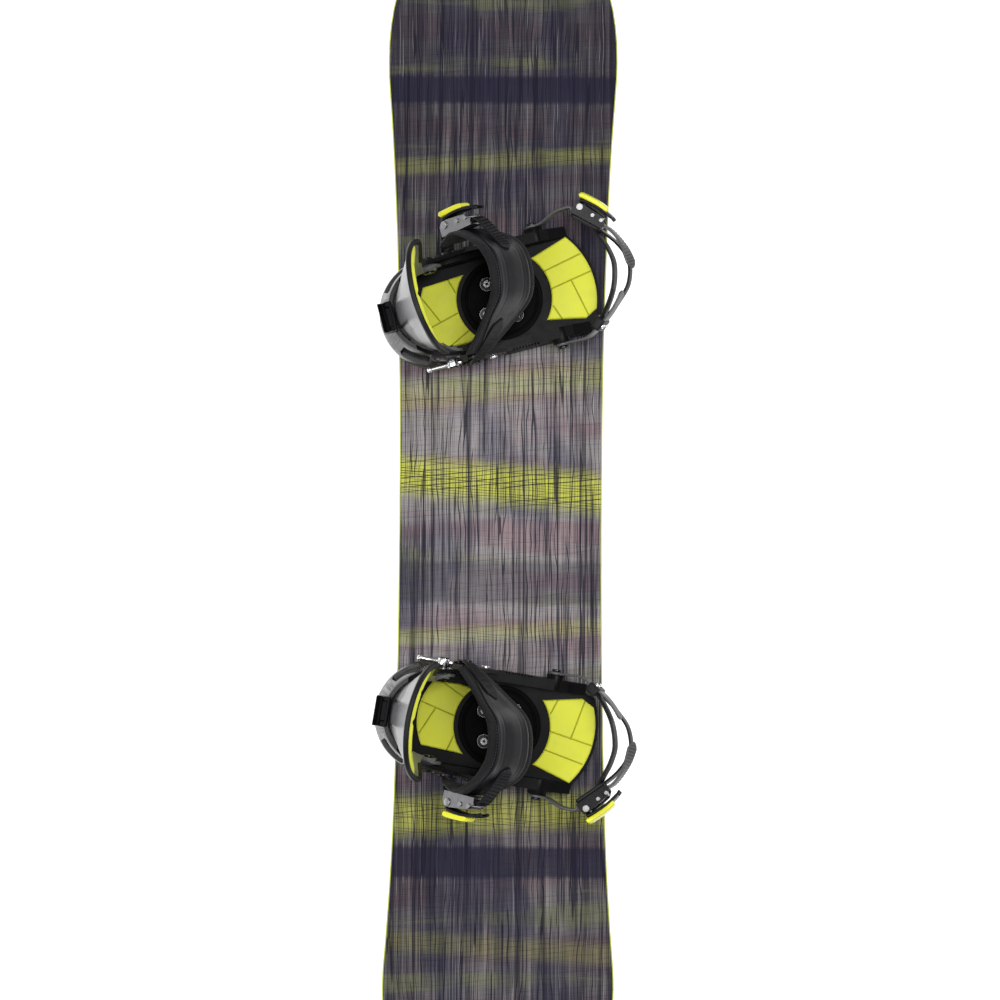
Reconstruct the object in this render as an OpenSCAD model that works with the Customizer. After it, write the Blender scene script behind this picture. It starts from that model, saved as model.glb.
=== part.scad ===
// Snowboard with a pair of strap bindings.
// Origin: middle of the board on the running base. +X toe side, +Y nose, +Z up. Millimetres.

/* [Board] */
// Length of the board from tip to tail
board_length = 1630; // [1500:5:1750]
// Width at the widest point of the nose
nose_width = 305; // [290:1:330]
// Width at the waist
waist_width = 267; // [250:1:280]
// Width at the widest point of the tail
tail_width = 302; // [290:1:330]
// From the widest point of the nose to its tip
nose_length = 207; // [180:1:240]
// From the widest point of the tail to its end
tail_length = 202; // [180:1:240]
// Waist ahead of the middle of the board
waist_offset = 8; // [0:1:30]
// Height of the nose and tail above the running base
tip_rise = 52; // [30:1:70]
// Contact line inside the widest points
contact_inset = 25; // [0:1:60]
// Roundness of the tips
tip_power = 2.2; // [1.8:0.1:2.8]
// Length over which the sidecut runs into the tips
tip_blend = 33; // [20:1:45]

/* [Layers] */
// Running base thickness
base_t = 1.3; // [1:0.1:2]
// Fibre laminate thickness
laminate_t = 0.9; // [0.5:0.1:1.5]
// Core thickness between the feet
core_t = 4.8; // [3.5:0.1:7]
// Loss of core thickness towards the tips
core_taper = 2.4; // [0:0.1:3]
// Topsheet thickness
topsheet_t = 0.6; // [0.4:0.1:1]
// Steel edge width
edge_w = 2; // [1.5:0.1:3]
// Sidewall width
sidewall_w = 7; // [4:0.5:12]
// Topsheet set back from the sidewall
top_inset = 1.6; // [0.5:0.1:3]
// Tip spacer length beyond the widest points
spacer_start = 70; // [20:5:120]

/* [Inserts and stance] */
// Distance between the two binding discs
stance_width = 560; // [480:10:640]
// Front binding angle
front_angle = 15; // [0:1:24]
// Rear binding angle, toes to the tail
rear_angle = 9; // [0:1:24]
// Insert pattern pitch across the board
insert_pitch = 40; // [40:1:44]
// Insert pattern pitch along the board
insert_step = 20; // [20:1:24]
// Insert rows each way from the disc centre
insert_rows = 3; // [2:1:4]
// Insert barrel radius
insert_r = 5.5; // [4.5:0.1:7]
// Insert flange radius
insert_flange_r = 8; // [7.5:0.1:9]
// Insert flange thickness
insert_flange_t = 1.2; // [0.8:0.1:2]
// Disc screw thread radius
screw_r = 3; // [2.5:0.1:4]
// Disc screw head radius
screw_head_r = 6; // [5:0.1:7]
// Disc screw head height
screw_head_h = 3.4; // [2:0.1:4]
// Washer radius
washer_r = 9; // [8:0.1:11]
// Washer thickness
washer_t = 1.2; // [0.8:0.1:2]

/* [Baseplate] */
// Height of the deck above the topsheet
deck_h = 14; // [11:0.5:20]
// Half width over the rails and the heel hoop
base_half = 72; // [66:0.5:80]
// Inner half width between the rails
rail_inner = 58; // [50:0.5:62]
// Rail height at the heel
rail_heel_h = 46; // [36:1:48]
// Rail height at the middle
rail_mid_h = 37; // [28:1:44]
// Heel end of the baseplate from the disc centre
heel_reach = 118; // [105:1:120]
// Radius of the toe edge of the toe pad
toe_r = 104; // [96:1:112]
// Baseplate margin outside the pads
pad_margin = 4; // [2:0.5:8]
// Pad thickness
pad_t = 8; // [5:0.5:12]
// Width of the moulded grooves in the pads
groove_w = 2.4; // [1.5:0.1:4]
// Depth of the moulded grooves
groove_d = 2; // [1:0.1:4]
// Slanted ribs on each rail
rail_ribs = 9; // [4:1:12]

/* [Disc] */
// Disc flange radius
disc_r = 53.6; // [50:0.1:58]
// Disc hub radius
disc_hub_r = 45.6; // [42:0.1:48]
// Disc flange thickness
disc_flange_t = 7; // [5:0.5:9]
// Gap between the disc and the board
disc_lift = 1; // [0.5:0.1:2]

/* [Heel hoop and highback] */
// Hoop wall thickness
hoop_t = 5; // [4:0.5:7]
// Hoop wall leans in by this much at its top
hoop_lean = 14; // [8:0.5:16]
// Height of the hoop at the back
hoop_h = 98; // [86:1:104]
// Middle of the hoop's round back
hoop_x = -90; // [-94:1:-86]
// Front end of the hoop arms
hoop_front = -13; // [-20:1:-5]
// Highback pivot height
pivot_z = 60; // [56:1:64]
// Highback pivot behind the disc centre
pivot_x = -84; // [-86:1:-80]
// Highback pivot bolt radius
pivot_r = 4; // [3:0.1:5]
// Top of the highback
highback_top = 250; // [220:1:270]
// Shell thickness of the highback
shell_t = 4.5; // [3.5:0.1:6]
// Highback back plane moves forward from the hoop to its top
lean_run = 28; // [18:1:32]
// Highback half width at its top
highback_half = 84; // [76:1:88]
// Highback pad thickness at its crown
back_pad_t = 8; // [5:0.5:12]
// Lean block width
block_w = 38; // [26:1:44]
// Lean block height
block_h = 22; // [16:1:28]
// Lean block depth
block_d = 18; // [12:0.5:22]
// Clamp lever width along its pivot
clamp_w = 7.8; // [6:0.2:10]

/* [Straps] */
// Ankle strap bolts behind the disc centre
ankle_x = -54; // [-58:1:-50]
// Ankle strap bolt height
ankle_z = 52; // [48:1:54]
// Ankle strap height over the foot
ankle_h = 121; // [110:1:135]
// Ankle strap half width at the middle
ankle_half = 35.5; // [28:0.5:40]
// Ankle strap pad thickness
ankle_t = 11; // [8:0.5:14]
// Tilt of the ankle strap
ankle_tilt = 40; // [34:1:46]
// Toe strap bolts ahead of the disc centre
toe_x = 62; // [58:1:70]
// Toe strap bolt height
toe_z = 26; // [22:1:30]
// Toe strap boss stands out from the rail
toe_boss = 6; // [3:0.5:8]
// Toe band thickness
toe_band_t = 4.5; // [3:0.5:6]
// Toe band half height
toe_band_half = 7; // [5:0.5:9]
// Strap end and ladder thickness
ladder_t = 3.5; // [2.5:0.1:4]
// Ladder half width
ladder_half = 9; // [7:0.5:9.5]
// Ladder tooth pitch
tooth_pitch = 5; // [4:0.5:7]
// Strap bolt radius
bolt_r = 3; // [2.5:0.1:3.5]
// Strap bolt head radius
bolt_head_r = 6; // [5:0.1:7]
// Strap bolt head height
bolt_head_h = 3; // [2:0.1:4]

/* [Buckles] */
// Ankle buckle length
buckle_l = 54; // [50:1:60]
// Inner half width between the cheeks
cheek_inner = 10.2; // [10:0.1:11.5]
// Cheek and floor plate thickness
cheek_t = 2; // [1.5:0.1:3]
// Cheek height
cheek_h = 18; // [16:0.5:20]
// Lever axle radius
axle_r = 3; // [2.5:0.1:3.5]
// Small pin radius
pin_r = 2; // [1.5:0.1:2.2]
// Toe buckle size against the ankle buckle
toe_buckle_scale = 0.86; // [0.8:0.01:0.95]

/* [Clearances] */
// Running clearance on pins and axles
run_fit = 0.05; // [0.02:0.01:0.1]
// Clearance between bodies that pass each other
pass_gap = 0.3; // [0.2:0.05:0.5]

/* [Hidden] */
$fn = 48;
SIDES = ["front", "rear"];
PIECES = ["baseplate", "disc", "disc_screws", "heel_pad", "toe_pad", "heel_hoop", "chassis_bolts",
    "highback", "highback_pad", "highback_pivots", "lean_block", "clamp_lever",
    "ankle_strap", "ankle_extender", "ankle_ladder", "ankle_buckle_frame", "ankle_buckle_pins",
    "ankle_lever", "ankle_pawl",
    "toe_strap", "toe_ladder", "toe_buckle_frame", "toe_buckle_pins", "toe_lever", "toe_pawl"];
BOARD = ["topsheet", "upper_laminate", "wood_core", "lower_laminate", "running_base", "steel_edge",
    "sidewalls", "tip_spacers", "inserts"];

black = [0.06, 0.06, 0.065];
grey = [0.42, 0.43, 0.45];
lime = [0.82, 0.85, 0.18];
chrome = [0.8, 0.8, 0.82];

edge_h = base_t + laminate_t;
core_top = edge_h + core_t;
deck_z = core_top + laminate_t + topsheet_t;
nose_y = board_length / 2 - nose_length;
tail_y = -(board_length / 2 - tail_length);
nose_flat = nose_y - contact_inset;
tail_flat = tail_y + contact_inset;
big = 400;

// Half width of a tip at a distance from its widest point
function tip_half(d, half, len) = half * pow(1 - pow(min(abs(d) / len, 1), tip_power), 1 / tip_power);
function tip_slope(d, half, len) = (tip_half(d - 0.5, half, len) - tip_half(d + 0.5, half, len));
// Half width along the sidecut, from the waist out to the blend of one end
function side_half(d, half, len, run) =
    let(end = run - tip_blend, rise = tip_half(tip_blend, half, len) - waist_width / 2,
        b = (tip_slope(tip_blend, half, len) * end - 2 * rise) / 2, u = d / end)
    waist_width / 2 + (rise - b) * u * u + b * pow(u, 4);
// One quarter of the outline, from the waist to the tip
function quarter(half, len, run, inset) = concat(
    [for (i = [0 : 14]) let(d = (run - tip_blend) * i / 14) [side_half(d, half, len, run) - inset, d]],
    [for (d = [-tip_blend * 2 / 3, -tip_blend / 3]) [tip_half(d, half, len) - inset, run + d]],
    [for (i = [0 : 16]) let(a = 90 * i / 16)
        [(half - inset) * pow(cos(a), 2 / tip_power), run + (len - inset) * pow(sin(a), 2 / tip_power)]]);
function flipped(list) = [for (i = [len(list) - 1 : -1 : 0]) list[i]];

module outline(inset = 0) {
    nose = quarter(nose_width / 2, nose_length, nose_y - waist_offset, inset);
    tail = quarter(tail_width / 2, tail_length, waist_offset - tail_y, inset);
    right = concat(flipped([for (p = tail) [p[0], waist_offset - p[1]]]),
        [for (i = [1 : len(nose) - 1]) [nose[i][0], waist_offset + nose[i][1]]]);
    left = [for (i = [len(right) - 2 : -1 : 1]) [-right[i][0], right[i][1]]];
    polygon(concat(right, left));
}

// Side view of all that lies above a level: flat along the running length, arcs under the tips
module above(z, drop) {
    rise = tip_rise - drop;
    translate([tail_flat, z]) square([nose_flat - tail_flat, big]);
    for (e = [[nose_flat, nose_length + contact_inset, 0], [tail_flat, tail_length + contact_inset, 1]]) {
        r = (e[1] * e[1] + rise * rise) / (2 * rise);
        translate([e[0], z]) mirror([e[2], 0]) intersection() {
            translate([0, r]) circle(r = r, $fn = 720);
            translate([-1, 0]) square([e[1] + 20, big]);
        }
    }
}
module layer_band(z0, drop0, z1, drop1) {
    rotate([90, 0, 90]) linear_extrude(2 * big, center = true) difference() {
        above(z0, drop0);
        above(z1, drop1);
    }
}
module sheet(z0, drop0, z1, drop1, inset) {
    intersection() {
        linear_extrude(big) outline(inset);
        layer_band(z0, drop0, z1, drop1);
    }
}
// The length of board that the wood core fills, between the two spacers
module core_zone() {
    y0 = tail_y - spacer_start;
    translate([-big, y0, 0]) cube([2 * big, nose_y + spacer_start - y0, big]);
}
module at_inserts() {
    for (s = [-1, 1], x = [-0.5, 0.5], row = [-insert_rows : insert_rows])
        translate([x * insert_pitch, waist_offset + s * stance_width / 2 + row * insert_step, 0]) children();
}

module running_base() {
    color([0.12, 0.12, 0.13]) sheet(0, 0, base_t, 0, edge_w);
}
module lower_laminate() {
    color([0.7, 0.7, 0.62]) sheet(base_t, 0, edge_h, 0, edge_w);
}
module steel_edge() {
    color(chrome) difference() {
        sheet(0, 0, edge_h, 0, 0);
        linear_extrude(big) outline(edge_w);
    }
}
module wood_core() {
    color([0.78, 0.62, 0.4]) difference() {
        intersection() {
            sheet(edge_h, 0, core_top, core_taper, sidewall_w);
            core_zone();
        }
        at_inserts() translate([0, 0, edge_h - 1]) cylinder(r = insert_r, h = core_t + 2);
        at_inserts() translate([0, 0, edge_h - 1]) cylinder(r = insert_flange_r, h = insert_flange_t + 1);
    }
}
module sidewalls() {
    color(lime) intersection() {
        difference() {
            sheet(edge_h, 0, core_top, core_taper, 0);
            linear_extrude(big) outline(sidewall_w);
        }
        core_zone();
    }
}
module tip_spacers() {
    color(lime) difference() {
        sheet(edge_h, 0, core_top, core_taper, 0);
        core_zone();
    }
}
module upper_laminate() {
    color([0.7, 0.7, 0.62]) difference() {
        sheet(core_top, core_taper, core_top + laminate_t, core_taper, top_inset);
        at_inserts() translate([0, 0, core_top - 1]) cylinder(r = insert_r, h = laminate_t + 2);
    }
}
module topsheet() {
    color([0.3, 0.3, 0.32]) difference() {
        sheet(core_top + laminate_t, core_taper, deck_z, core_taper, top_inset);
        at_inserts() translate([0, 0, core_top]) cylinder(r = screw_r + 1, h = big);
    }
}
module inserts() {
    color(chrome) at_inserts() translate([0, 0, edge_h]) difference() {
        union() {
            cylinder(r = insert_r, h = core_t + laminate_t);
            cylinder(r = insert_flange_r, h = insert_flange_t);
        }
        translate([0, 0, -1]) cylinder(r = screw_r, h = core_t + laminate_t + 2);
    }
}

// Binding sizes, in the binding's own frame: disc centre at the topsheet, +x toe, +y outer side
pad_z = deck_h + pad_t;
ledge_z = deck_h - disc_flange_t - 1;
recess_z = ledge_z + 2;
toe_c = [20, -7];
hoop_inner = base_half - hoop_t;
hoop_bend_z = 48;
rail_step = hoop_inner - pass_gap;
heel_bolts = [[-30, 34], [-66, 30]];
bolt_in = 12;
// How far a heel bolt stops short of the inner face of its rail
bolt_short = 1;
ear_outer = hoop_inner - hoop_lean * 0.5 - pass_gap;
ear_inner = ear_outer - shell_t;
ear_boss = 4;
pivot_face = base_half - 4;
pivot_recess_r = 12;
toe_face = base_half + toe_boss;
toe_boss_r = 12;
eye_r = 9.5;

module at_binding(side) {
    front = side == "front";
    translate([0, waist_offset + (front ? 1 : -1) * stance_width / 2, deck_z])
        rotate([0, 0, front ? front_angle : -rear_angle]) mirror([0, front ? 0 : 1, 0]) children();
}
// The disc stays square to the board
module at_disc(side) {
    translate([0, waist_offset + (side == "front" ? 1 : -1) * stance_width / 2, deck_z]) children();
}
// A cylinder across the binding from y0 to y1
module across(x, z, r, y0, y1) {
    translate([x, max(y0, y1), z]) rotate([90, 0, 0]) cylinder(r = r, h = abs(y1 - y0));
}
// An outline in x and z, carried across the binding from y0 to y1
module side_plate(points, y0, y1) {
    translate([0, max(y0, y1), 0]) rotate([90, 0, 0]) linear_extrude(abs(y1 - y0)) polygon(points);
}

module toe_region(grow) {
    intersection() {
        union() {
            translate(toe_c) circle(r = toe_r + grow, $fn = 96);
            translate([toe_c[0] - 2 * big, -big]) square([2 * big, 2 * big]);
        }
        translate([-2 * big, -big]) square([4 * big, 2 * big]);
    }
}
module toe_pad_plan() {
    difference() {
        intersection() {
            toe_region(0);
            polygon([[38, 38], [101, 58], [140, 60], [140, -40], [117, -44], [101, -53], [38, -40]]);
        }
        circle(r = disc_r + 12, $fn = 96);
    }
}
module heel_pad_plan() {
    difference() {
        intersection() {
            polygon([[-112, 30], [-101, 40], [-30, 44], [-30, -40], [-58, -46], [-98, -45], [-112, -32]]);
            translate([-30, 0]) circle(r = 78, $fn = 96);
        }
        circle(r = disc_r + 6, $fn = 96);
    }
}
module groove(a, b) {
    d = b - a;
    translate([a[0], a[1], pad_z - groove_d]) rotate([0, 0, atan2(d[1], d[0])])
        translate([0, -groove_w / 2, 0]) cube([norm(d), groove_w, groove_d + 1]);
}
module heel_pad() {
    color(lime) difference() {
        translate([0, 0, deck_h]) linear_extrude(pad_t) heel_pad_plan();
        groove([-64, 46], [-57, 22]);
        groove([-102, 26], [-86, -10]);
        groove([-110, -17], [-56, -3]);
        groove([-88, -48], [-48, -28]);
    }
}
module toe_pad() {
    color(lime) difference() {
        translate([0, 0, deck_h]) linear_extrude(pad_t) toe_pad_plan();
        groove([56, 19], [114, 31]);
        groove([62, -5], [126, 6]);
        groove([94, 1], [106, -56]);
        groove([63, -27], [71, -50]);
    }
}

rail_profile = [[-heel_reach + 4, 0], [-heel_reach + 4, rail_heel_h - 2], [-60, rail_heel_h],
    [hoop_front, rail_mid_h + 3], [24, rail_mid_h], [toe_x, rail_mid_h + 1], [toe_x + 18, rail_mid_h - 4],
    [toe_x + 42, deck_h + 2], [toe_x + 42, 0]];

module base_floor() {
    intersection() {
        toe_region(pad_margin);
        polygon([[-heel_reach, -40], [-heel_reach + 12, -rail_step], [toe_x + 34, -rail_step],
            [toe_x + 46, -58], [200, -58], [200, 64], [toe_x + 40, rail_step], [-heel_reach + 12, rail_step],
            [-heel_reach, 40]]);
    }
}
module baseplate() {
    color(black) difference() {
        union() {
            linear_extrude(deck_h) base_floor();
            for (s = [-1, 1]) {
                intersection() {
                    side_plate(rail_profile, s * rail_inner, s * rail_step);
                    linear_extrude(big) {
                        translate([hoop_x, 0]) circle(r = rail_step, $fn = 96);
                        translate([hoop_x, -big]) square([hoop_front + 1 - hoop_x, 2 * big]);
                    }
                }
                intersection() {
                    side_plate(rail_profile, s * rail_inner, s * base_half);
                    translate([hoop_front + pass_gap, -big, 0]) cube([big, 2 * big, big]);
                }
                across(toe_x, toe_z, toe_boss_r, s * rail_inner, s * toe_face);
            }
        }
        translate([0, 0, -1]) cylinder(r = disc_hub_r + pass_gap, h = big, $fn = 96);
        translate([0, 0, ledge_z]) cylinder(r = disc_r + pass_gap, h = big, $fn = 96);
        for (s = [-1, 1]) {
            for (b = heel_bolts) across(b[0], b[1], bolt_r, s * (rail_inner - bolt_short), s * big);
            across(toe_x, toe_z, bolt_r, s * (toe_face - bolt_in), s * big);
            for (i = [0 : rail_ribs - 1])
                translate([hoop_front + 8 + i * 4.2, s * base_half, rail_mid_h - 6]) rotate([0, 20, 0])
                    cube([1.6, 4, 18], center = true);
        }
    }
}

module disc_screw_places() {
    for (x = [-0.5, 0.5], y = [-1, 1]) translate([x * insert_pitch, y * insert_step, 0]) children();
}
module disc() {
    color(black) difference() {
        union() {
            translate([0, 0, disc_lift]) cylinder(r = disc_hub_r, h = ledge_z + 1 - disc_lift, $fn = 96);
            translate([0, 0, ledge_z]) cylinder(r = disc_r, h = disc_flange_t, $fn = 96);
        }
        disc_screw_places() translate([0, 0, recess_z]) cylinder(r = washer_r + 1, h = big);
        disc_screw_places() translate([0, 0, -1]) cylinder(r = screw_r + 0.4, h = big);
        translate([0, 0, ledge_z + disc_flange_t - 1.5]) rotate_extrude($fn = 96)
            translate([disc_r - 8, 0]) square([2.5, big]);
        translate([0, 0, ledge_z + disc_flange_t - 3]) cylinder(r = 7, h = big);
    }
}
module disc_screws() {
    seat = recess_z + washer_t;
    color(chrome) disc_screw_places() {
        translate([0, 0, recess_z]) difference() {
            cylinder(r = washer_r, h = washer_t);
            translate([0, 0, -1]) cylinder(r = screw_r + 0.4, h = big);
        }
        translate([0, 0, seat + run_fit]) difference() {
            union() {
                cylinder(r = screw_head_r, h = screw_head_h);
                translate([0, 0, -seat - core_t]) cylinder(r = screw_r - run_fit, h = seat + core_t + 1);
            }
            translate([0, 0, screw_head_h - 1.8]) linear_extrude(big) {
                square([screw_head_r * 1.3, 1.4], center = true);
                square([1.4, screw_head_r * 1.3], center = true);
            }
        }
    }
}

hoop_top_inner = hoop_inner - hoop_lean;
// A shelf inside the foot of the hoop, behind the heel
shelf_z = 40;
shelf_t = 4;
shelf_r = 46;
shelf_back = 24;
hoop_section = [[hoop_inner, 20], [base_half, 20], [base_half, hoop_bend_z],
    [base_half - hoop_lean, hoop_h], [hoop_top_inner, hoop_h], [hoop_inner, hoop_bend_z]];
hoop_side = [[hoop_x - base_half - 9, 38], [hoop_x - base_half - 9, hoop_h], [hoop_x - 34, hoop_h],
    [hoop_x + 4, hoop_h - 18], [ankle_x + 4, ankle_z + 10], [hoop_front, rail_mid_h + 6], [hoop_front, 20],
    [hoop_x - 8, 20], [hoop_x - base_half + 12, 30]];
module heel_hoop() {
    color(black) difference() {
        union() {
            intersection() {
                union() {
                    translate([hoop_x, 0, 0]) rotate([0, 0, 90]) rotate_extrude(angle = 180, $fn = 96)
                        polygon(hoop_section);
                    for (s = [0, 1]) mirror([0, s, 0]) translate([hoop_x, 0, 0]) rotate([90, 0, 90])
                        linear_extrude(hoop_front - hoop_x) polygon(hoop_section);
                }
                side_plate(hoop_side, -big, big);
            }
            intersection() {
                translate([hoop_x, 0, shelf_z]) difference() {
                    cylinder(r = hoop_inner + 1, h = shelf_t, $fn = 96);
                    translate([0, 0, -1]) cylinder(r = shelf_r, h = shelf_t + 2, $fn = 96);
                }
                translate([hoop_x - big, -big, 0]) cube([big - shelf_back, 2 * big, big]);
            }
            for (s = [-1, 1]) {
                across(pivot_x, pivot_z, 9, s * (ear_outer + pass_gap), s * pivot_face);
                across(ankle_x, ankle_z, 9, s * hoop_inner, s * base_half);
            }
        }
        for (a = [128, 180 + 52]) translate([hoop_x, 0, 0]) rotate([0, 0, a]) translate([big / 2, 0, 0])
            rotate([90, 0, -90]) linear_extrude(big, center = true)
                polygon([[-20, 54], [17, 54], [20, 60], [16, 82], [-16, 86], [-20, 80]]);
        for (s = [-1, 1]) {
            for (b = heel_bolts) across(b[0], b[1], bolt_r + 0.2, s * rail_inner, s * big);
            across(pivot_x, pivot_z, pivot_r + run_fit, s * (ear_inner - 1), s * big);
            across(pivot_x, pivot_z, pivot_recess_r, s * pivot_face, s * big);
            across(ankle_x, ankle_z, bolt_r, s * rail_inner, s * big);
        }
    }
}

// A bolt across the binding whose head seats on a face at y
module side_bolt(x, z, s, face, depth) {
    across(x, z, bolt_r - run_fit, s * (face - depth), s * (face + 1));
    difference() {
        across(x, z, bolt_head_r, s * face, s * (face + bolt_head_h));
        across(x, z, bolt_r * 0.8, s * (face + bolt_head_h - 1.6), s * (face + big));
    }
}
strap_face = base_half + pass_gap;
toe_strap_face = toe_face + pass_gap;
module chassis_bolts() {
    color(chrome) for (s = [-1, 1]) {
        for (b = heel_bolts) side_bolt(b[0], b[1], s, base_half, base_half - rail_inner - bolt_short);
        side_bolt(ankle_x, ankle_z, s, strap_face + ladder_t + pass_gap, ladder_t + hoop_t);
        side_bolt(toe_x, toe_z, s, toe_strap_face + ladder_t + pass_gap, ladder_t + 10);
    }
}
module highback_pivots() {
    inner = ear_inner - ear_boss - pass_gap;
    color(chrome) for (s = [-1, 1]) {
        outer = pivot_face + (s < 0 ? clamp_w + 2 * pass_gap : pass_gap);
        across(pivot_x, pivot_z, pivot_r, s * (inner - 1), s * (outer + 1));
        across(pivot_x, pivot_z, pivot_r + 3, s * inner, s * (inner - 2));
        across(pivot_x, pivot_z, pivot_r + 1.5, s * outer, s * (outer + 1.5));
    }
}

// Closed surface between two equal grids of points, outside and inside
module two_skins(outside, inside) {
    m = len(outside);
    n = len(outside[0]);
    function at(i, j, k) = k * m * n + i * n + j;
    quads = concat(
        [for (i = [0 : m - 2], j = [0 : n - 2])
            [at(i, j, 0), at(i + 1, j, 0), at(i + 1, j + 1, 0), at(i, j + 1, 0)]],
        [for (i = [0 : m - 2], j = [0 : n - 2])
            [at(i, j, 1), at(i, j + 1, 1), at(i + 1, j + 1, 1), at(i + 1, j, 1)]],
        [for (j = [0 : n - 2]) [at(0, j, 0), at(0, j + 1, 0), at(0, j + 1, 1), at(0, j, 1)]],
        [for (j = [0 : n - 2]) [at(m - 1, j + 1, 0), at(m - 1, j, 0), at(m - 1, j, 1), at(m - 1, j + 1, 1)]],
        [for (i = [0 : m - 2]) [at(i + 1, 0, 0), at(i, 0, 0), at(i, 0, 1), at(i + 1, 0, 1)]],
        [for (i = [0 : m - 2]) [at(i, n - 1, 0), at(i + 1, n - 1, 0), at(i + 1, n - 1, 1), at(i, n - 1, 1)]]);
    polyhedron([for (g = [outside, inside]) for (row = g) for (p = row) p],
        [for (q = quads) each [[q[0], q[1], q[2]], [q[0], q[2], q[3]]]], convexity = 8);
}

// Highback surface: a round back at the hoop that opens and leans forward towards its top
highback_seat = hoop_x - hoop_top_inner + 2 + pass_gap;
function part_up(z) = max(0, (z - hoop_h) / (highback_top - hoop_h));
function back_x(z) = highback_seat + lean_run * part_up(z);
function hoop_in(z) = hoop_inner - hoop_lean * max(0, min(1, (z - hoop_bend_z) / (hoop_h - hoop_bend_z)));
function back_half(z) = let(low = min(ear_outer - pass_gap, hoop_in(z) - 5 * pass_gap))
    low + (highback_half - low) * pow(part_up(z), 0.8);
function back_deep(z) = 30 + 18 * (1 - part_up(z)) + 27 * exp(-pow((z - pivot_z + 10) / 32, 2));
function back_wrap(z) = 84 - 26 * part_up(z);
function back_point(f, z, in) = let(a = f * back_wrap(z), full = back_wrap(z))
    [back_x(z) + in + (back_deep(z) - in) * (1 - cos(a)) / (1 - cos(full)),
     (back_half(z) - in) * sin(a) / sin(full), z];
function back_low(f) = 86 - 30 * f * f;
function back_high(f) = highback_top - 62 * pow(abs(f), 2.6);
function back_grid(f0, v0, v1, in, m, n) = [for (i = [0 : m]) let(f = f0 * (2 * i / m - 1))
    [for (j = [0 : n]) let(v = v0 + (v1 - v0) * j / n)
        back_point(f, back_low(f) + v * (back_high(f) - back_low(f)), is_num(in) ? in : in[i][j])]];

module highback() {
    color(grey) difference() {
        union() {
            two_skins(back_grid(1, 0, 1, 0, 28, 14), back_grid(1, 0, 1, shell_t, 28, 14));
            for (s = [-1, 1]) across(pivot_x, pivot_z, 11, s * (ear_inner - ear_boss), s * ear_outer);
        }
        for (s = [-1, 1]) across(pivot_x, pivot_z, pivot_r + run_fit, s * (ear_inner - 8), s * big);
    }
}
module highback_pad() {
    m = 20;
    n = 12;
    rise = [for (i = [0 : m]) [for (j = [0 : n]) let(u = 2 * i / m - 1, v = 2 * j / n - 1)
        shell_t + pass_gap + 1.5 + (back_pad_t - 1.5) * pow(max(0, (1 - pow(u, 6)) * (1 - pow(v, 6))), 0.4)
            * (1 - 0.35 * exp(-pow(u / 0.09, 2)))]];
    color(lime) two_skins(back_grid(0.82, 0.3, 0.97, shell_t + pass_gap, m, n),
        back_grid(0.82, 0.3, 0.97, rise, m, n));
}
block_z = hoop_h + pass_gap;
clamp_reach = 31;
module lean_block() {
    x1 = highback_seat - pass_gap;
    color(black) difference() {
        translate([x1 - block_d, -block_w / 2, block_z]) cube([block_d, block_w, block_h]);
        translate([x1 - block_d * 0.55, -block_w * 0.35, block_z + block_h - 6])
            cube([block_d * 0.35, block_w * 0.66, block_h]);
        translate([x1 - block_d, -block_w, block_z + block_h]) rotate([0, 40, 0])
            cube([8, 2 * block_w, 8], center = false);
    }
}
module clamp_lever() {
    y0 = -(pivot_face + pass_gap);
    y1 = y0 - clamp_w;
    mid = (y0 + y1) / 2;
    color(chrome) difference() {
        union() {
            across(pivot_x, pivot_z, 8, y0, y1);
            translate([pivot_x - clamp_reach, mid, pivot_z]) rotate([0, 90, 0])
                cylinder(r = 3, h = clamp_reach);
            translate([pivot_x - clamp_reach, mid, pivot_z]) sphere(r = clamp_w / 2);
            translate([pivot_x, mid, pivot_z]) rotate([0, 90, 0]) cylinder(r = 2.6, h = pivot_recess_r - 1);
        }
        across(pivot_x, pivot_z, pivot_r + run_fit, y0 + 1, y1 - 1);
    }
}

// Smooth curve through points, with a number of steps in each span
function spline_at(p, i, t) =
    let(a = p[max(i - 1, 0)], b = p[i], c = p[i + 1], d = p[min(i + 2, len(p) - 1)])
    0.5 * (2 * b + (c - a) * t + (2 * a - 5 * b + 4 * c - d) * t * t + (3 * b - a - 3 * c + d) * t * t * t);
function spline(p, steps) = concat(
    [for (i = [0 : len(p) - 2], k = [0 : steps - 1]) spline_at(p, i, k / steps)], [p[len(p) - 1]]);
function unit(v) = v / norm(v);
function along(path, i) = unit(path[min(i + 1, len(path) - 1)] - path[max(i - 1, 0)]);
// Width direction, square to the path, for a strap tilted by an angle
function wide(t, tilt) = let(w = [cos(tilt), 0, -sin(tilt)]) unit(w - (w * t) * t);
// Closed skin through rings of equal count
module ring_skin(rings) {
    n = len(rings[0]);
    m = len(rings);
    sides = [for (i = [0 : m - 2], j = [0 : n - 1]) let(a = i * n + j, b = i * n + (j + 1) % n)
        each [[a, b + n, b], [a, a + n, b + n]]];
    caps = [for (j = [1 : n - 2]) each [[0, j, j + 1], [(m - 1) * n, (m - 1) * n + j + 1, (m - 1) * n + j]]];
    polyhedron([for (r = rings) for (p = r) p], concat(sides, caps), convexity = 8);
}
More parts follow.
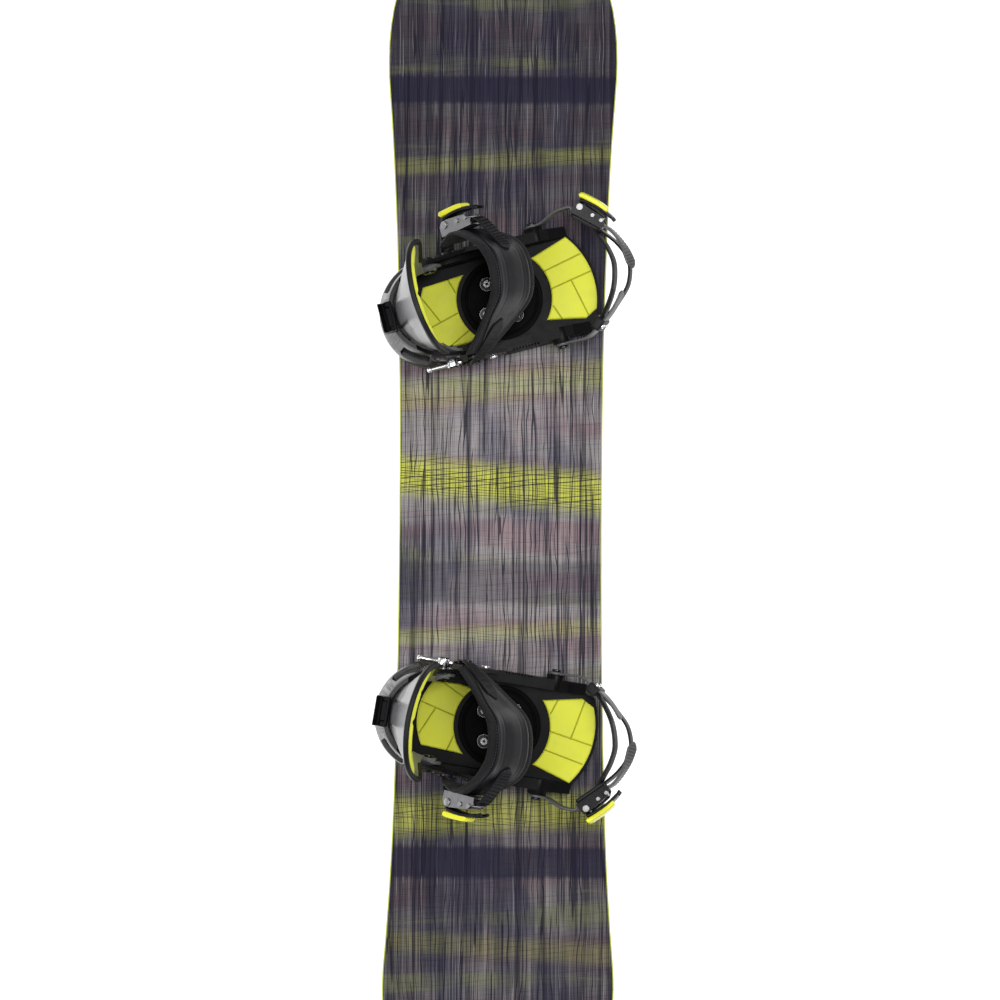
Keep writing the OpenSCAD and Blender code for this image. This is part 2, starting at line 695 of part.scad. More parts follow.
// Flat band along a path: half width, lift and thickness are given for each point
module band(path, half, lift, thick, tilt) {
    ring_skin([for (i = [0 : len(path) - 1])
        let(t = along(path, i), w = wide(t, is_num(tilt) ? tilt : tilt[i]), n = cross(t, w))
        [for (c = [[-1, 0], [1, 0], [1, 1], [-1, 1]])
            path[i] + c[0] * half[i] * w + (lift[i] + c[1] * thick[i]) * n]]);
}
function ramp(x, a, b) = let(u = min(1, max(0, (x - a) / (b - a)))) u * u * (3 - 2 * u);
function piece(list, a, b) = [for (i = [a : b]) list[i]];
function path_len(p, i) = i >= len(p) - 1 ? 0 : norm(p[i + 1] - p[i]) + path_len(p, i + 1);
function on_path(p, d, i) = let(s = norm(p[i + 1] - p[i]))
    d <= s || i >= len(p) - 2 ? p[i] + (p[i + 1] - p[i]) * d / s : on_path(p, d - s, i + 1);
function evenly(path, step) = [for (d = [0 : step : path_len(path, 0)]) on_path(path, d, 0)];
module strap_eye(x, z, s, face) {
    across(x, z, eye_r, s * face, s * (face + ladder_t));
}

// Ankle strap: from the outer bolt over the foot to the inner bolt
strap_mid = strap_face + ladder_t / 2;
ankle_points = [[ankle_x, strap_mid, ankle_z], [ankle_x + 5, strap_mid, ankle_z + 7],
    [ankle_x + 10, strap_mid + 1, ankle_z + 14], [-39, 78, 77], [-24, 81, 93], [0, 62, ankle_h - 11],
    [12, 39, ankle_h - 2], [13, 14, ankle_h], [6, -10, ankle_h - 3], [-13, -33, ankle_h - 12], [-34, -53, 97],
    [-50, -67, 80], [ankle_x - 2, -strap_mid, ankle_z + 18], [ankle_x - 1, -strap_mid, ankle_z + 9],
    [ankle_x, -strap_mid, ankle_z]];
ankle_steps = 4;
ankle_path = spline(ankle_points, ankle_steps);
pad_first = 2.5 * ankle_steps;
pad_last = 11 * ankle_steps;
function pad_part(i) = (i - pad_first) / (pad_last - pad_first);
function pad_full(u) = ankle_t * (0.5 + 0.5 * ramp(u, 0.22, 0.42) * (1 - ramp(u, 0.62, 0.8)));
function pad_half(u) = ankle_half * (0.62 + 0.38 * ramp(u, 0, 0.4)) * (1 - 0.4 * ramp(u, 0.6, 1));
function ankle_out(i) = let(t = along(ankle_path, i)) cross(t, wide(t, ankle_tilt));
pad_ring = [[-0.86, 0], [0, 0.06], [0.86, 0], [1, 0.3], [0.92, 0.66], [0.6, 0.9], [0.3, 0.82], [0, 1],
    [-0.3, 0.82], [-0.6, 0.9], [-0.92, 0.66], [-1, 0.3]];
module ankle_strap() {
    color([0.12, 0.12, 0.13]) ring_skin([for (i = [pad_first : pad_last])
        let(t = along(ankle_path, i), w = wide(t, ankle_tilt), n = cross(t, w), u = pad_part(i))
        [for (c = pad_ring) ankle_path[i] + c[0] * pad_half(u) * w + c[1] * pad_full(u) * n]]);
}
thin = 1;
module ankle_extender() {
    last = len(ankle_path) - 1;
    first = last - 5 * ankle_steps;
    path = piece(ankle_path, first, last);
    half = [for (i = [first : last]) 9 - 3 * (1 - ramp(i, first, first + 2))];
    low = [for (i = [first : last]) ramp(i, pad_last, last - 5)];
    lift = [for (i = [first : last]) (pad_full(min(1, pad_part(i))) + pass_gap + 0.4) * (1 - low[i - first])
        - (ladder_t - thin) / 2 * low[i - first]];
    thick = [for (i = [first : last]) ladder_t - thin];
    color(black) difference() {
        union() {
            band(path, half, lift, thick, ankle_tilt);
            strap_eye(ankle_x, ankle_z, -1, strap_face);
        }
        across(ankle_x, ankle_z, bolt_r + run_fit, -strap_face + 9, -strap_face - 9);
    }
}

// A buckle stands on its strap: x along the strap, y across it, z away from it
function frame_matrix(o, t, tilt) = let(w = wide(t, tilt), n = cross(t, w))
    [[t[0], w[0], n[0], o[0]], [t[1], w[1], n[1], o[1]], [t[2], w[2], n[2], o[2]], [0, 0, 0, 1]];
buckle_i = 3.75 * ankle_steps;
ankle_run = along(ankle_path, buckle_i);
ankle_up = ankle_out(buckle_i);
ankle_seat = ankle_path[buckle_i] + ankle_up * (pad_full(pad_part(buckle_i)) + pass_gap);
toe_tilt = 66;
toe_run = unit([0.72, -0.69, 0.03]);
toe_out = cross(toe_run, wide(toe_run, toe_tilt));
toe_seat = [131, 65, 62];
module at_ankle_buckle() {
    multmatrix(frame_matrix(ankle_seat, ankle_run, ankle_tilt)) children();
}
module at_toe_buckle() {
    multmatrix(frame_matrix(toe_seat, toe_run, toe_tilt)) scale(toe_buckle_scale) children();
}
tooth_h = 1.2;
ladder_low = cheek_t + pass_gap;
ladder_top = ladder_low + ladder_t + tooth_h;
hub_r = axle_r + 3.2;
axle_at = [-18, ladder_top + hub_r + 2 * pass_gap];
pawl_at = [5, ladder_top + 5];
guide_at = [20, ladder_top + 4.5];
tail_x = buckle_l / 2 + 1;
// A pin along y through both cheeks, with a head on each side
module cross_pin(at, r, head) {
    side = cheek_inner + cheek_t;
    translate([at[0], 0, at[1]]) rotate([90, 0, 0]) {
        cylinder(r = r, h = 2 * side + 2, center = true);
        for (s = [-1, 1]) translate([0, 0, s * (side + 0.9)]) cylinder(r = head, h = 1.6, center = true);
    }
}
module pin_hole(at, r) {
    translate([at[0], 0, at[1]]) rotate([90, 0, 0]) cylinder(r = r + run_fit, h = big, center = true);
}
module slab(points, half) {
    rotate([90, 0, 0]) linear_extrude(2 * half, center = true) polygon(points);
}
module buckle_frame() {
    l = buckle_l / 2;
    difference() {
        union() {
            translate([-l, -cheek_inner - cheek_t, 0])
                cube([buckle_l, 2 * (cheek_inner + cheek_t), cheek_t]);
            for (s = [-1, 1]) translate([0, s * (cheek_inner + cheek_t / 2), 0]) slab([[-l, 0], [l, 0],
                [l, cheek_h * 0.5], [l - 8, cheek_h - 2], [l - 16, cheek_h - 1], [-l + 14, cheek_h + 1.5],
                [-l + 5, cheek_h + 1], [-l, cheek_h - 5]], cheek_t / 2);
        }
        pin_hole(axle_at, axle_r);
        pin_hole(pawl_at, pin_r);
        pin_hole(guide_at, pin_r);
    }
}
module buckle_pins() {
    cross_pin(axle_at, axle_r, 5);
    cross_pin(pawl_at, pin_r, 3);
    cross_pin(guide_at, pin_r, 3);
}
lever_z = cheek_h + 3;
lever_t = 13;
lever_top = lever_z + lever_t;
lever_plan = [[axle_at[0] - 5, lever_z - 4], [axle_at[0] - 8, lever_z + 4], [axle_at[0] - 5, lever_top - 3],
    [-4, lever_top], [14, lever_top - 0.5], [tail_x, lever_top - 5], [tail_x + 9, lever_z + 2],
    [tail_x + 8, lever_z - 2], [tail_x - 4, lever_z - 0.5], [0, lever_z], [axle_at[0] + 7, lever_z - 3]];
module buckle_lever() {
    difference() {
        union() {
            slab(lever_plan, cheek_inner - 0.4);
            translate([axle_at[0], 0, axle_at[1]]) rotate([90, 0, 0])
                cylinder(r = hub_r, h = 2 * (cheek_inner - 0.4), center = true);
        }
        pin_hole(axle_at, axle_r);
    }
}
module buckle_pawl() {
    x = pawl_at[0];
    z = pawl_at[1];
    difference() {
        slab([[x - 9, ladder_top + 0.4], [x - 5, ladder_top + 0.4], [x + 3, z - 3.4], [x + 10, z - 1],
            [x + 10, z + 2], [x + 3, z + 3.6], [x - 3, z + 3.6], [x - 8, z - 1]], cheek_inner - 0.6);
        pin_hole(pawl_at, pin_r);
    }
}

module ankle_buckle_frame() {
    color(grey) at_ankle_buckle() buckle_frame();
}
module ankle_buckle_pins() {
    color(chrome) at_ankle_buckle() buckle_pins();
}
module ankle_lever() {
    color(lime) at_ankle_buckle() buckle_lever();
}
module ankle_pawl() {
    color(black) at_ankle_buckle() buckle_pawl();
}
module toe_buckle_frame() {
    color(black) at_toe_buckle() buckle_frame();
}
module toe_buckle_pins() {
    color(chrome) at_toe_buckle() buckle_pins();
}
module toe_lever() {
    color(lime) at_toe_buckle() buckle_lever();
}
module toe_pawl() {
    color(black) at_toe_buckle() buckle_pawl();
}

// A ladder strap: its outer face runs in teeth from a given step on, and it may be tilted differently
// at its bolt, in its buckle and at its free end
module ladder(points, tilts, size, first) {
    path = evenly(spline(points, 12), tooth_pitch * size / 2);
    n = len(path);
    half = [for (i = [0 : n - 1]) ladder_half * size * (i == n - 1 ? 0.5 : i == n - 2 ? 0.85 : 1)];
    lift = [for (i = [0 : n - 1]) i < first ? thin / 2 : 0];
    thick = [for (i = [0 : n - 1])
        i < first ? ladder_t * size - thin : (ladder_t + (i % 2) * tooth_h) * size];
    tilt = [for (i = [0 : n - 1]) tilts[0] + (tilts[1] - tilts[0]) * ramp(i, 2, first + 4)
        + (tilts[2] - tilts[1]) * ramp(i, 0.72 * n, 0.95 * n)];
    band(path, half, lift, thick, tilt);
}
function over_pad(k, extra) = let(i = k * ankle_steps)
    ankle_path[i] + ankle_out(i) * (pad_full(pad_part(i)) + extra);
ankle_enter = ankle_seat + ankle_up * ladder_low;
ankle_ladder_points = [[ankle_x, strap_face, ankle_z], [ankle_x + 0.5, strap_face, ankle_z + 7],
    ankle_enter - 34 * ankle_run - 11 * ankle_up + 1.5 * wide(ankle_run, ankle_tilt),
    ankle_enter - 29 * ankle_run, ankle_enter - 20 * ankle_run,
    ankle_enter, ankle_enter + 26 * ankle_run, ankle_enter + 34 * ankle_run,
    over_pad(5.25, 3), over_pad(6, 1.2)];
module ankle_ladder() {
    color([0.16, 0.16, 0.17]) difference() {
        union() {
            ladder(ankle_ladder_points, [0, ankle_tilt, ankle_tilt], 1, 6);
            strap_eye(ankle_x, ankle_z, 1, strap_face);
        }
        across(ankle_x, ankle_z, bolt_r + run_fit, strap_face - 9, strap_face + 9);
    }
}
toe_enter = toe_seat + toe_out * ladder_low * toe_buckle_scale;
toe_ladder_points = [[toe_x, toe_strap_face, toe_z], [toe_x + 9, toe_strap_face, toe_z + 4],
    [toe_x + 19, toe_strap_face + 2, toe_z + 11], [toe_x + 34, toe_strap_face + 7, toe_z + 26],
    toe_enter - 27 * toe_run, toe_enter - 22 * toe_run, toe_enter, toe_enter + 22 * toe_run,
    toe_enter + 32 * toe_run,
    [162, 33, 63], [168, 16, 62], [171, -2, 61], [171, -11, 61]];
toe_end_tilt = 38;
module toe_ladder() {
    color(grey) difference() {
        union() {
            ladder(toe_ladder_points, [toe_tilt, toe_tilt, toe_end_tilt], toe_buckle_scale, 10);
            strap_eye(toe_x, toe_z, 1, toe_strap_face);
        }
        across(toe_x, toe_z, bolt_r + run_fit, toe_strap_face - 9, toe_strap_face + 9);
    }
}

// Toe strap: a plate under the buckle, two bands round the toe, and a tail from the inner bolt
plate_t = toe_band_t + 1;
plate_in = toe_seat - toe_out * (plate_t / 2 + pass_gap);
toe_root = [114, -68, 52];
root_run = unit([0.72, 0.6, 0.36]);
toe_upper_points = [toe_root - 2 * root_run, [129, -50, 68], [142, -28, 77], [149, -2, 80], [147, 19, 78],
    [142, 36, 72], plate_in + 8 * toe_run, plate_in - 6 * toe_run];
toe_lower_points = [toe_root + [-4, -1, -5], [132, -57, 47], [148, -44, 46], [163, -28, 44],
    [171, -8, 43], [171, 8, 43], [166, 22, 46], [156.5, 36, 52],
    plate_in + 19 * toe_run, plate_in + 8 * toe_run];
toe_tail_y = -toe_strap_face - ladder_t / 2;
toe_tail_points = [[toe_x, toe_tail_y, toe_z], [toe_x + 9, toe_tail_y, toe_z + 4],
    [toe_x + 18, toe_tail_y - 1, toe_z + 9], [96, -81, 42], [112, -73, 52], [130, -61, 63], [144, -47, 69],
    [151, -37, 72]];
module even_band(points, half, thick, lift) {
    path = spline(points, 4);
    band(path, [for (p = path) half], [for (p = path) lift], [for (p = path) thick], toe_tilt);
}
lower_t = toe_band_t - 1.5 * thin;
module toe_strap() {
    color([0.2, 0.2, 0.21]) difference() {
        union() {
            even_band(toe_upper_points, toe_band_half, toe_band_t - thin, -(toe_band_t - thin) / 2);
            even_band(toe_lower_points, toe_band_half - 1, lower_t, -lower_t / 2);
            even_band(toe_tail_points, 8, ladder_t - thin, -(ladder_t - thin) / 2);
            multmatrix(frame_matrix(plate_in, toe_run, toe_tilt)) cube([44, 22, plate_t], center = true);
            multmatrix(frame_matrix(toe_root, root_run, toe_tilt)) cube([18, 24, 15], center = true);
            strap_eye(toe_x, toe_z, -1, toe_strap_face);
        }
        across(toe_x, toe_z, bolt_r + run_fit, -toe_strap_face + 9, -toe_strap_face - 9);
    }
}

module draw(name) {
    if (name == "baseplate") baseplate();
    if (name == "disc") disc();
    if (name == "disc_screws") disc_screws();
    if (name == "heel_pad") heel_pad();
    if (name == "toe_pad") toe_pad();
    if (name == "heel_hoop") heel_hoop();
    if (name == "chassis_bolts") chassis_bolts();
    if (name == "highback") highback();
    if (name == "highback_pad") highback_pad();
    if (name == "highback_pivots") highback_pivots();
    if (name == "lean_block") lean_block();
    if (name == "clamp_lever") clamp_lever();
    if (name == "ankle_strap") ankle_strap();
    if (name == "ankle_extender") ankle_extender();
    if (name == "ankle_ladder") ankle_ladder();
    if (name == "ankle_buckle_frame") ankle_buckle_frame();
    if (name == "ankle_buckle_pins") ankle_buckle_pins();
    if (name == "ankle_lever") ankle_lever();
    if (name == "ankle_pawl") ankle_pawl();
    if (name == "toe_strap") toe_strap();
    if (name == "toe_ladder") toe_ladder();
    if (name == "toe_buckle_frame") toe_buckle_frame();
    if (name == "toe_buckle_pins") toe_buckle_pins();
    if (name == "toe_lever") toe_lever();
    if (name == "toe_pawl") toe_pawl();
}

topsheet();
upper_laminate();
wood_core();
lower_laminate();
running_base();
steel_edge();
sidewalls();
tip_spacers();
inserts();
for (s = SIDES, p = PIECES)
    union() {
        if (p == "disc" || p == "disc_screws") at_disc(s) draw(p);
        else at_binding(s) draw(p);
    }
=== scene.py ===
import math
import bpy
import numpy as np
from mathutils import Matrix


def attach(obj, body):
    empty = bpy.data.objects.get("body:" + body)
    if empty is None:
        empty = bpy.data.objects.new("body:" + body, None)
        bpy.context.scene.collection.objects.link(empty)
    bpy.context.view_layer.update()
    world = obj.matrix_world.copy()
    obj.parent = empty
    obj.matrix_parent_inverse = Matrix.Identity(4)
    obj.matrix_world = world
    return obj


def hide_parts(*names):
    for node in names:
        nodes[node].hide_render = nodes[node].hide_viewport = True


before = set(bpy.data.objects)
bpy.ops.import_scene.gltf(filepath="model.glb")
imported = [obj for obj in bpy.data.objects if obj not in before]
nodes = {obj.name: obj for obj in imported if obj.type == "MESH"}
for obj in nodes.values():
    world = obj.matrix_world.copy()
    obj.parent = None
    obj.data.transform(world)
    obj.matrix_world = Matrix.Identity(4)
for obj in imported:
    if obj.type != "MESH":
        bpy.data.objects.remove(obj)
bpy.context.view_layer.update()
mm = 0.001
print("frame loaded:", len(nodes), "nodes")

# where each binding stands: own frame has +x to the toe, +y to the outer side, z 0 on the topsheet
seat = {"deck": 8.5 * mm, "middle": 8 * mm, "reach": 280 * mm, "front": 15, "rear": -9}
sides = {
    "front": {"y": seat["middle"] + seat["reach"], "turn": math.radians(seat["front"]), "flip": 1},
    "rear": {"y": seat["middle"] - seat["reach"], "turn": math.radians(seat["rear"]), "flip": -1},
}


def toBoard(side, points):  # own frame to board frame: mirror, turn about z, then shift
    s = sides[side]
    x, y, z = points[..., 0], points[..., 1] * s["flip"], points[..., 2]
    c, d = math.cos(s["turn"]), math.sin(s["turn"])
    return np.stack([c * x - d * y, d * x + c * y + s["y"], z + seat["deck"]], -1)


# mesh helpers

def quads(rows, cols, wrap=False):  # one quad between each pair of neighbouring rows and columns
    i, j = np.meshgrid(np.arange(rows - 1), np.arange(cols if wrap else cols - 1), indexing="ij")
    k = (j + 1) % cols
    return np.stack([i * cols + j, (i + 1) * cols + j, (i + 1) * cols + k, i * cols + k], -1).reshape(-1, 4)


def ringSkin(rings):  # closed skin: quads between rings, a flat cap on the first and last
    rows, cols = rings.shape[:2]
    faces = quads(rows, cols, True).tolist()
    faces.append(list(range(cols)))
    faces.append(list(range((rows - 1) * cols, rows * cols))[::-1])
    return rings.reshape(-1, 3), faces


def twoSkins(outer, inner):  # closed skin between two equal grids
    rows, cols = outer.shape[:2]
    n = rows * cols
    top = quads(rows, cols)
    edge = np.concatenate([np.arange(cols), np.arange(1, rows) * cols + cols - 1,
                           (rows - 1) * cols + np.arange(cols - 1)[::-1],
                           np.arange(1, rows - 1)[::-1] * cols])
    after = np.roll(edge, -1)
    rim = np.stack([edge, after, after + n, edge + n], -1)
    points = np.concatenate([outer.reshape(-1, 3), inner.reshape(-1, 3)])
    return points, np.concatenate([top, top[:, ::-1] + n, rim]).tolist()


def joined(parts):  # several (points, faces) as one
    points, faces, start = [], [], 0
    for p, f in parts:
        points.append(np.asarray(p).reshape(-1, 3))
        faces += [[v + start for v in face] for face in f]
        start += len(points[-1])
    return np.concatenate(points), faces


def outward(points, faces):  # turns the whole skin round if its volume is negative
    tri = np.array([(f[0], f[k], f[k + 1]) for f in faces for k in range(1, len(f) - 1)])
    a, b, c = points[tri[:, 0]], points[tri[:, 1]], points[tri[:, 2]]
    return faces if np.einsum("ij,ij->", a, np.cross(b, c)) > 0 else [f[::-1] for f in faces]


def addPiece(name, points, faces, material, body, sharp=38, uv=None):
    mesh = bpy.data.meshes.new(name)
    mesh.from_pydata(points.tolist(), [], outward(points, faces))
    mesh.shade_smooth()
    mesh.set_sharp_from_angle(angle=math.radians(sharp))
    if uv is not None:  # one value per point, copied to the corners
        corner = np.empty(len(mesh.loops), dtype=np.int32)
        mesh.loops.foreach_get("vertex_index", corner)
        layer = mesh.uv_layers.new(name="run")
        layer.data.foreach_set("uv", np.asarray(uv, dtype=np.float32)[corner].ravel())
    mesh.materials.append(material)
    obj = bpy.data.objects.new(name, mesh)
    bpy.context.scene.collection.objects.link(obj)
    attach(obj, body)
    return obj


def runOf(values, count):  # for so many points: these values for the first of them, 0 for the rest
    uv = np.zeros((count, 2))
    uv[:values.size, 0] = values.ravel()
    return uv


def bindingPiece(side, name, points, faces, material, body, **more):
    return addPiece(f"{side}_{name}", toBoard(side, points), faces, material, f"{side}_{body}", **more)


# path helpers

def smoothPath(points, steps):  # Catmull-Rom curve through the points, all spans at once
    points = np.array(points, float)
    p = np.vstack([points[:1], points, points[-1:]])
    t = np.linspace(0, 1, steps, endpoint=False)[None, :, None]
    a, b, c, d = (p[k:k + len(points) - 1, None] for k in range(4))
    q = 0.5 * (2 * b + (c - a) * t + (2 * a - 5 * b + 4 * c - d) * t ** 2 + (3 * b - a - 3 * c + d) * t ** 3)
    return np.vstack([q.reshape(-1, 3), points[-1:]])


def lengths(path):  # distance run at each point
    return np.concatenate([[0], np.cumsum(np.linalg.norm(np.diff(path, axis=0), axis=1))])


def sampled(values, run, at):  # rows of values read at places along their run
    return np.stack([np.interp(at, run, column) for column in values.T], -1)


def evenPath(path, count):  # the same curve at equal steps
    run = lengths(path)
    return sampled(path, run, np.linspace(0, run[-1], count))


def unit(v):
    return v / np.linalg.norm(v, axis=-1, keepdims=True)


def frames(path, tilt):  # width direction for a tilt in degrees, and outward direction, at each point
    t = unit(np.gradient(path, axis=0))
    a = np.radians(tilt + 0 * path[:, 0])
    w = np.stack([np.cos(a), 0 * a, -np.sin(a)], -1)
    w = unit(w - (t * w).sum(1, keepdims=True) * t)
    return w, np.cross(t, w)


def axesFor(t, tilt):  # along a strap at one place, across it for a tilt in degrees, and away from it
    w = np.array([math.cos(math.radians(tilt)), 0, -math.sin(math.radians(tilt))])
    w = unit(w - (w @ t) * t)
    return np.array([t, w, np.cross(t, w)])


def ease(x, a, b):  # smooth step from 0 at a to 1 at b
    u = np.clip((x - a) / (b - a), 0, 1)
    return u * u * (3 - 2 * u)


def within(x, span, soft):  # 1 inside a span, falling to 0 at its ends
    return ease(x, span[0], span[0] + soft) * (1 - ease(x, span[1] - soft, span[1]))


def bump(x, at, wide):  # bell curve
    return np.exp(-((x - at) / wide) ** 2)


def circle(count):  # even angles round a full turn
    return np.linspace(0, 2 * np.pi, count, endpoint=False)


def rounded(distance, reach, least):  # share of the full width, drawn in towards an end
    return np.sqrt(np.clip(distance / reach, least, 1))


def roundBox(count, power):  # super-ellipse ring as two rows of one length, from -1 to 1 both ways
    a = circle(count)[None]
    return [np.sign(k) * np.abs(k) ** power for k in (np.cos(a), np.sin(a))]


def sweep(path, tilt, across, up):  # carries a ring (across, up) along a path; both are rows x ring
    w, n = frames(path, tilt)
    return path[:, None] + across[..., None] * w[:, None] + up[..., None] * n[:, None]


def boss(centre, y0, y1, radius, hole, count, chamfer=0.8):
    # flat round end on an axle along y, with a hole and a chamfered rim; its last row meets its first
    a = circle(count)
    step = chamfer * np.sign(y1 - y0)
    r = np.array([hole, hole, radius - chamfer, radius, radius, radius - chamfer, hole])[:, None]
    y = np.array([y0, y0, y0, y0 + step, y1 - step, y1, y1])[:, None]
    points = np.stack([centre[0] + r * np.cos(a), y + 0 * a, centre[1] + r * np.sin(a)], -1)
    first = np.arange(count)
    last = first + (len(r) - 1) * count
    close = np.stack([last, first, np.roll(first, -1), np.roll(last, -1)], -1)
    return points, np.concatenate([quads(len(r), count, True), close]).tolist()


# material helpers

class nodeValue:  # a node's output that takes arithmetic, by making the nodes for it
    def __init__(self, socket):
        self.socket = socket
        self.tree = socket.id_data

    def __add__(self, other):
        return calc("ADD", self, other)

    def __sub__(self, other):
        return calc("SUBTRACT", self, other)

    def __mul__(self, other):
        return calc("MULTIPLY", self, other)

    def __abs__(self):
        return calc("ABSOLUTE", self)


def put(socket, value):  # a node's value or a constant into an input
    if isinstance(value, nodeValue):
        value.tree.links.new(value.socket, socket)
    else:
        socket.default_value = value


def add(tree, kind, inputs, out=0, **props):
    item = tree.nodes.new("ShaderNode" + kind)
    for key, value in props.items():
        setattr(item, key, value)
    for key, value in inputs.items():
        put(item.inputs[key], value)
    return nodeValue(item.outputs[out])


def calc(operation, a, b=0.0):
    return add(a.tree, "Math", {0: a, 1: b}, operation=operation)


def remap(value, low, high, toLow=0.0, toHigh=1.0):
    return add(value.tree, "MapRange", {"Value": value, "From Min": low, "From Max": high, "To Min": toLow,
                                        "To Max": toHigh}, interpolation_type="SMOOTHSTEP")


def mixColour(factor, a, b):
    a, b = (k if isinstance(k, nodeValue) else (*k, 1) for k in (a, b))
    return add(factor.tree, "Mix", {0: factor, 6: a, 7: b}, out=2, data_type="RGBA")


def placeOn(tree, source="Object"):  # place on the piece: its own coordinates, or the run its points carry
    return add(tree, "TexCoord", {}, out=source)


def stretched(tree, scale):  # own coordinates multiplied axis by axis
    return add(tree, "VectorMath", {0: placeOn(tree), 1: scale}, operation="MULTIPLY")


def split(vector):
    return [add(vector.tree, "SeparateXYZ", {0: vector}, out=k) for k in range(2)]


def noise(vector, scale, detail=3.0, rough=0.5):
    return add(vector.tree, "TexNoise",
               {"Vector": vector, "Scale": scale, "Detail": detail, "Roughness": rough})


def bumped(height, depth):
    return add(height.tree, "Bump", {"Height": height, "Strength": 1.0, "Distance": depth})


def feed(shader, **values):  # values into a shader's inputs, by name
    for key, value in values.items():
        put(shader.inputs[key.replace("_", " ")], value)


def newMaterial(name, **values):
    material = bpy.data.materials.new(name)
    material.use_nodes = True
    shader = material.node_tree.nodes["Principled BSDF"]
    feed(shader, **values)
    return material, material.node_tree, shader


def shaded(colour, share):
    return tuple(min(1, c * share) for c in colour)


# the last share is the colour left where a recess is painted in shade
mould = {"cloud": 22.0, "gloss": 60.0, "dark": 0.82, "light": 1.12, "recessShade": 0.1}


def moulded(name, colour, rough, grain, depth, vary=0.07, recessShade=0.0, **values):
    # plastic: fine grain, clouded colour and gloss, and painted shade: darker by a share where the piece's
    # own run marks a recess
    material, tree, shader = newMaterial(name, **values)
    where = placeOn(tree)
    cloud = remap(noise(where, mould["cloud"], 4.0), 0.3, 0.7)
    shade = mixColour(cloud, shaded(colour, mould["dark"]), shaded(colour, mould["light"]))
    if recessShade:
        shade = mixColour(split(placeOn(tree, "UV"))[0] * recessShade, shade, shaded(colour, mould["recessShade"]))
    gloss = noise(where, mould["gloss"])
    feed(shader, Base_Color=shade, Roughness=remap(gloss, 0.2, 0.8, rough - vary, rough + vary),
         Normal=bumped(noise(where, grain, 2.0), depth))
    return material


brushed = {"dark": 0.86, "smooth": 0.05, "coarse": 0.08, "depth": 0.00002}


def metal(name, colour, rough, brush, **values):  # brushed lines with uneven gloss
    material, tree, shader = newMaterial(name, **{"Metallic": 1.0, **values})
    line = noise(stretched(tree, brush), 1.0, 4.0)
    feed(shader, Base_Color=mixColour(remap(line, 0.3, 0.7), shaded(colour, brushed["dark"]), colour),
         Roughness=remap(line, 0.25, 0.75, rough - brushed["smooth"], rough + brushed["coarse"]),
         Normal=bumped(line, brushed["depth"]))
    return material


finish = {
    "nylon": moulded("black nylon", (0.003, 0.003, 0.0036), 0.36, 900.0, 0.00005, Specular_IOR_Level=0.08),
    "disc": moulded("black disc", (0.0015, 0.0015, 0.0016), 0.32, 900.0, 0.00003, Specular_IOR_Level=0.02),
    "gloss": moulded("satin black hoop", (0.006, 0.006, 0.007), 0.27, 700.0, 0.00002, Specular_IOR_Level=0.4),
    # the shell and strap plastics are darkened by their pieces' run as painted shade: in ladder valleys, and
    # over the shell's panels
    "shell": moulded("grey highback shell", (0.148, 0.148, 0.156), 0.3, 600.0, 0.00001, vary=0.02, recessShade=0.97),
    "rim": moulded("soft black rim", (0.006, 0.006, 0.007), 0.5, 800.0, 0.00004, Specular_IOR_Level=0.2),
    "plastic": moulded("charcoal strap plastic", (0.009, 0.009, 0.0105), 0.4, 700.0, 0.00003, recessShade=0.9,
                       Specular_IOR_Level=0.2),
    "greyPlastic": moulded("grey strap plastic", (0.08, 0.08, 0.083), 0.46, 700.0, 0.00003, recessShade=0.9),
    "rubber": moulded("toe band rubber", (0.009, 0.009, 0.0105), 0.44, 500.0, 0.00004,
                      Specular_IOR_Level=0.2),
    "lever": moulded("lime lever grip", (0.74, 0.74, 0.012), 0.3, 300.0, 0.00001, Coat_Weight=0.3),
    "leverBase": moulded("black lever base", (0.004, 0.004, 0.005), 0.32, 600.0, 0.00002,
                         Specular_IOR_Level=0.2),
    "sidewall": moulded("lime sidewall", (0.52, 0.58, 0.06), 0.45, 400.0, 0.00003),
    "base": moulded("ground running base", (0.03, 0.03, 0.033), 0.4, 900.0, 0.00003),
    "laminate": moulded("glass laminate", (0.5, 0.5, 0.43), 0.5, 500.0, 0.00004),
    "core": moulded("core wood", (0.55, 0.4, 0.22), 0.6, 300.0, 0.00004),
    "steel": metal("ground steel", (0.6, 0.6, 0.62), 0.3, (300, 30, 300)),
    "rivet": metal("bright rivets", (0.38, 0.38, 0.39), 0.36, (60, 60, 60)),
    "chrome": metal("polished clamp", (0.85, 0.85, 0.86), 0.13, (60, 60, 60)),
    "frame": metal("satin buckle metal", (0.29, 0.29, 0.3), 0.34, (500, 90, 500)),
    "blackFrame": metal("black buckle metal", (0.006, 0.006, 0.007), 0.28, (500, 100, 500), Metallic=0.0,
                        Specular_IOR_Level=0.25),
}

fasteners = {
    "bright": (0.75, 0.75, 0.76), "dark": (0.03, 0.03, 0.032), "rough": (0.16, 0.3), "cloud": 400.0,
    "square": 20 * mm, "screw": 4.6 * mm, "socket": 1.7 * mm, "lip": 8.3 * mm, "soft": 0.3 * mm,
    "headShine": 0.5, "lipShine": 0.25,
    "plated": np.array([-30, -74, 34]) * mm, "near": 12 * mm, "blend": 1 * mm,
}


def screwShine(place):
    # a bright head with its socket painted dark as shade in the recess, on a black washer with a paler lip,
    # by the distance from the nearest screw on its 40 mm square
    x, y = split(place)
    away = abs(abs(y - seat["middle"]) - seat["reach"])
    dx, dy = abs(x) - fasteners["square"], away - fasteners["square"]
    r = calc("SQRT", dx * dx + dy * dy)
    screw, socket, lip, soft = (fasteners[key] for key in ("screw", "socket", "lip", "soft"))
    head = remap(r, screw, screw - soft, 0.0, fasteners["headShine"]) * remap(r, socket, socket + soft)
    return calc("MAXIMUM", head, remap(r, lip, lip + soft, 0.0, fasteners["lipShine"]))


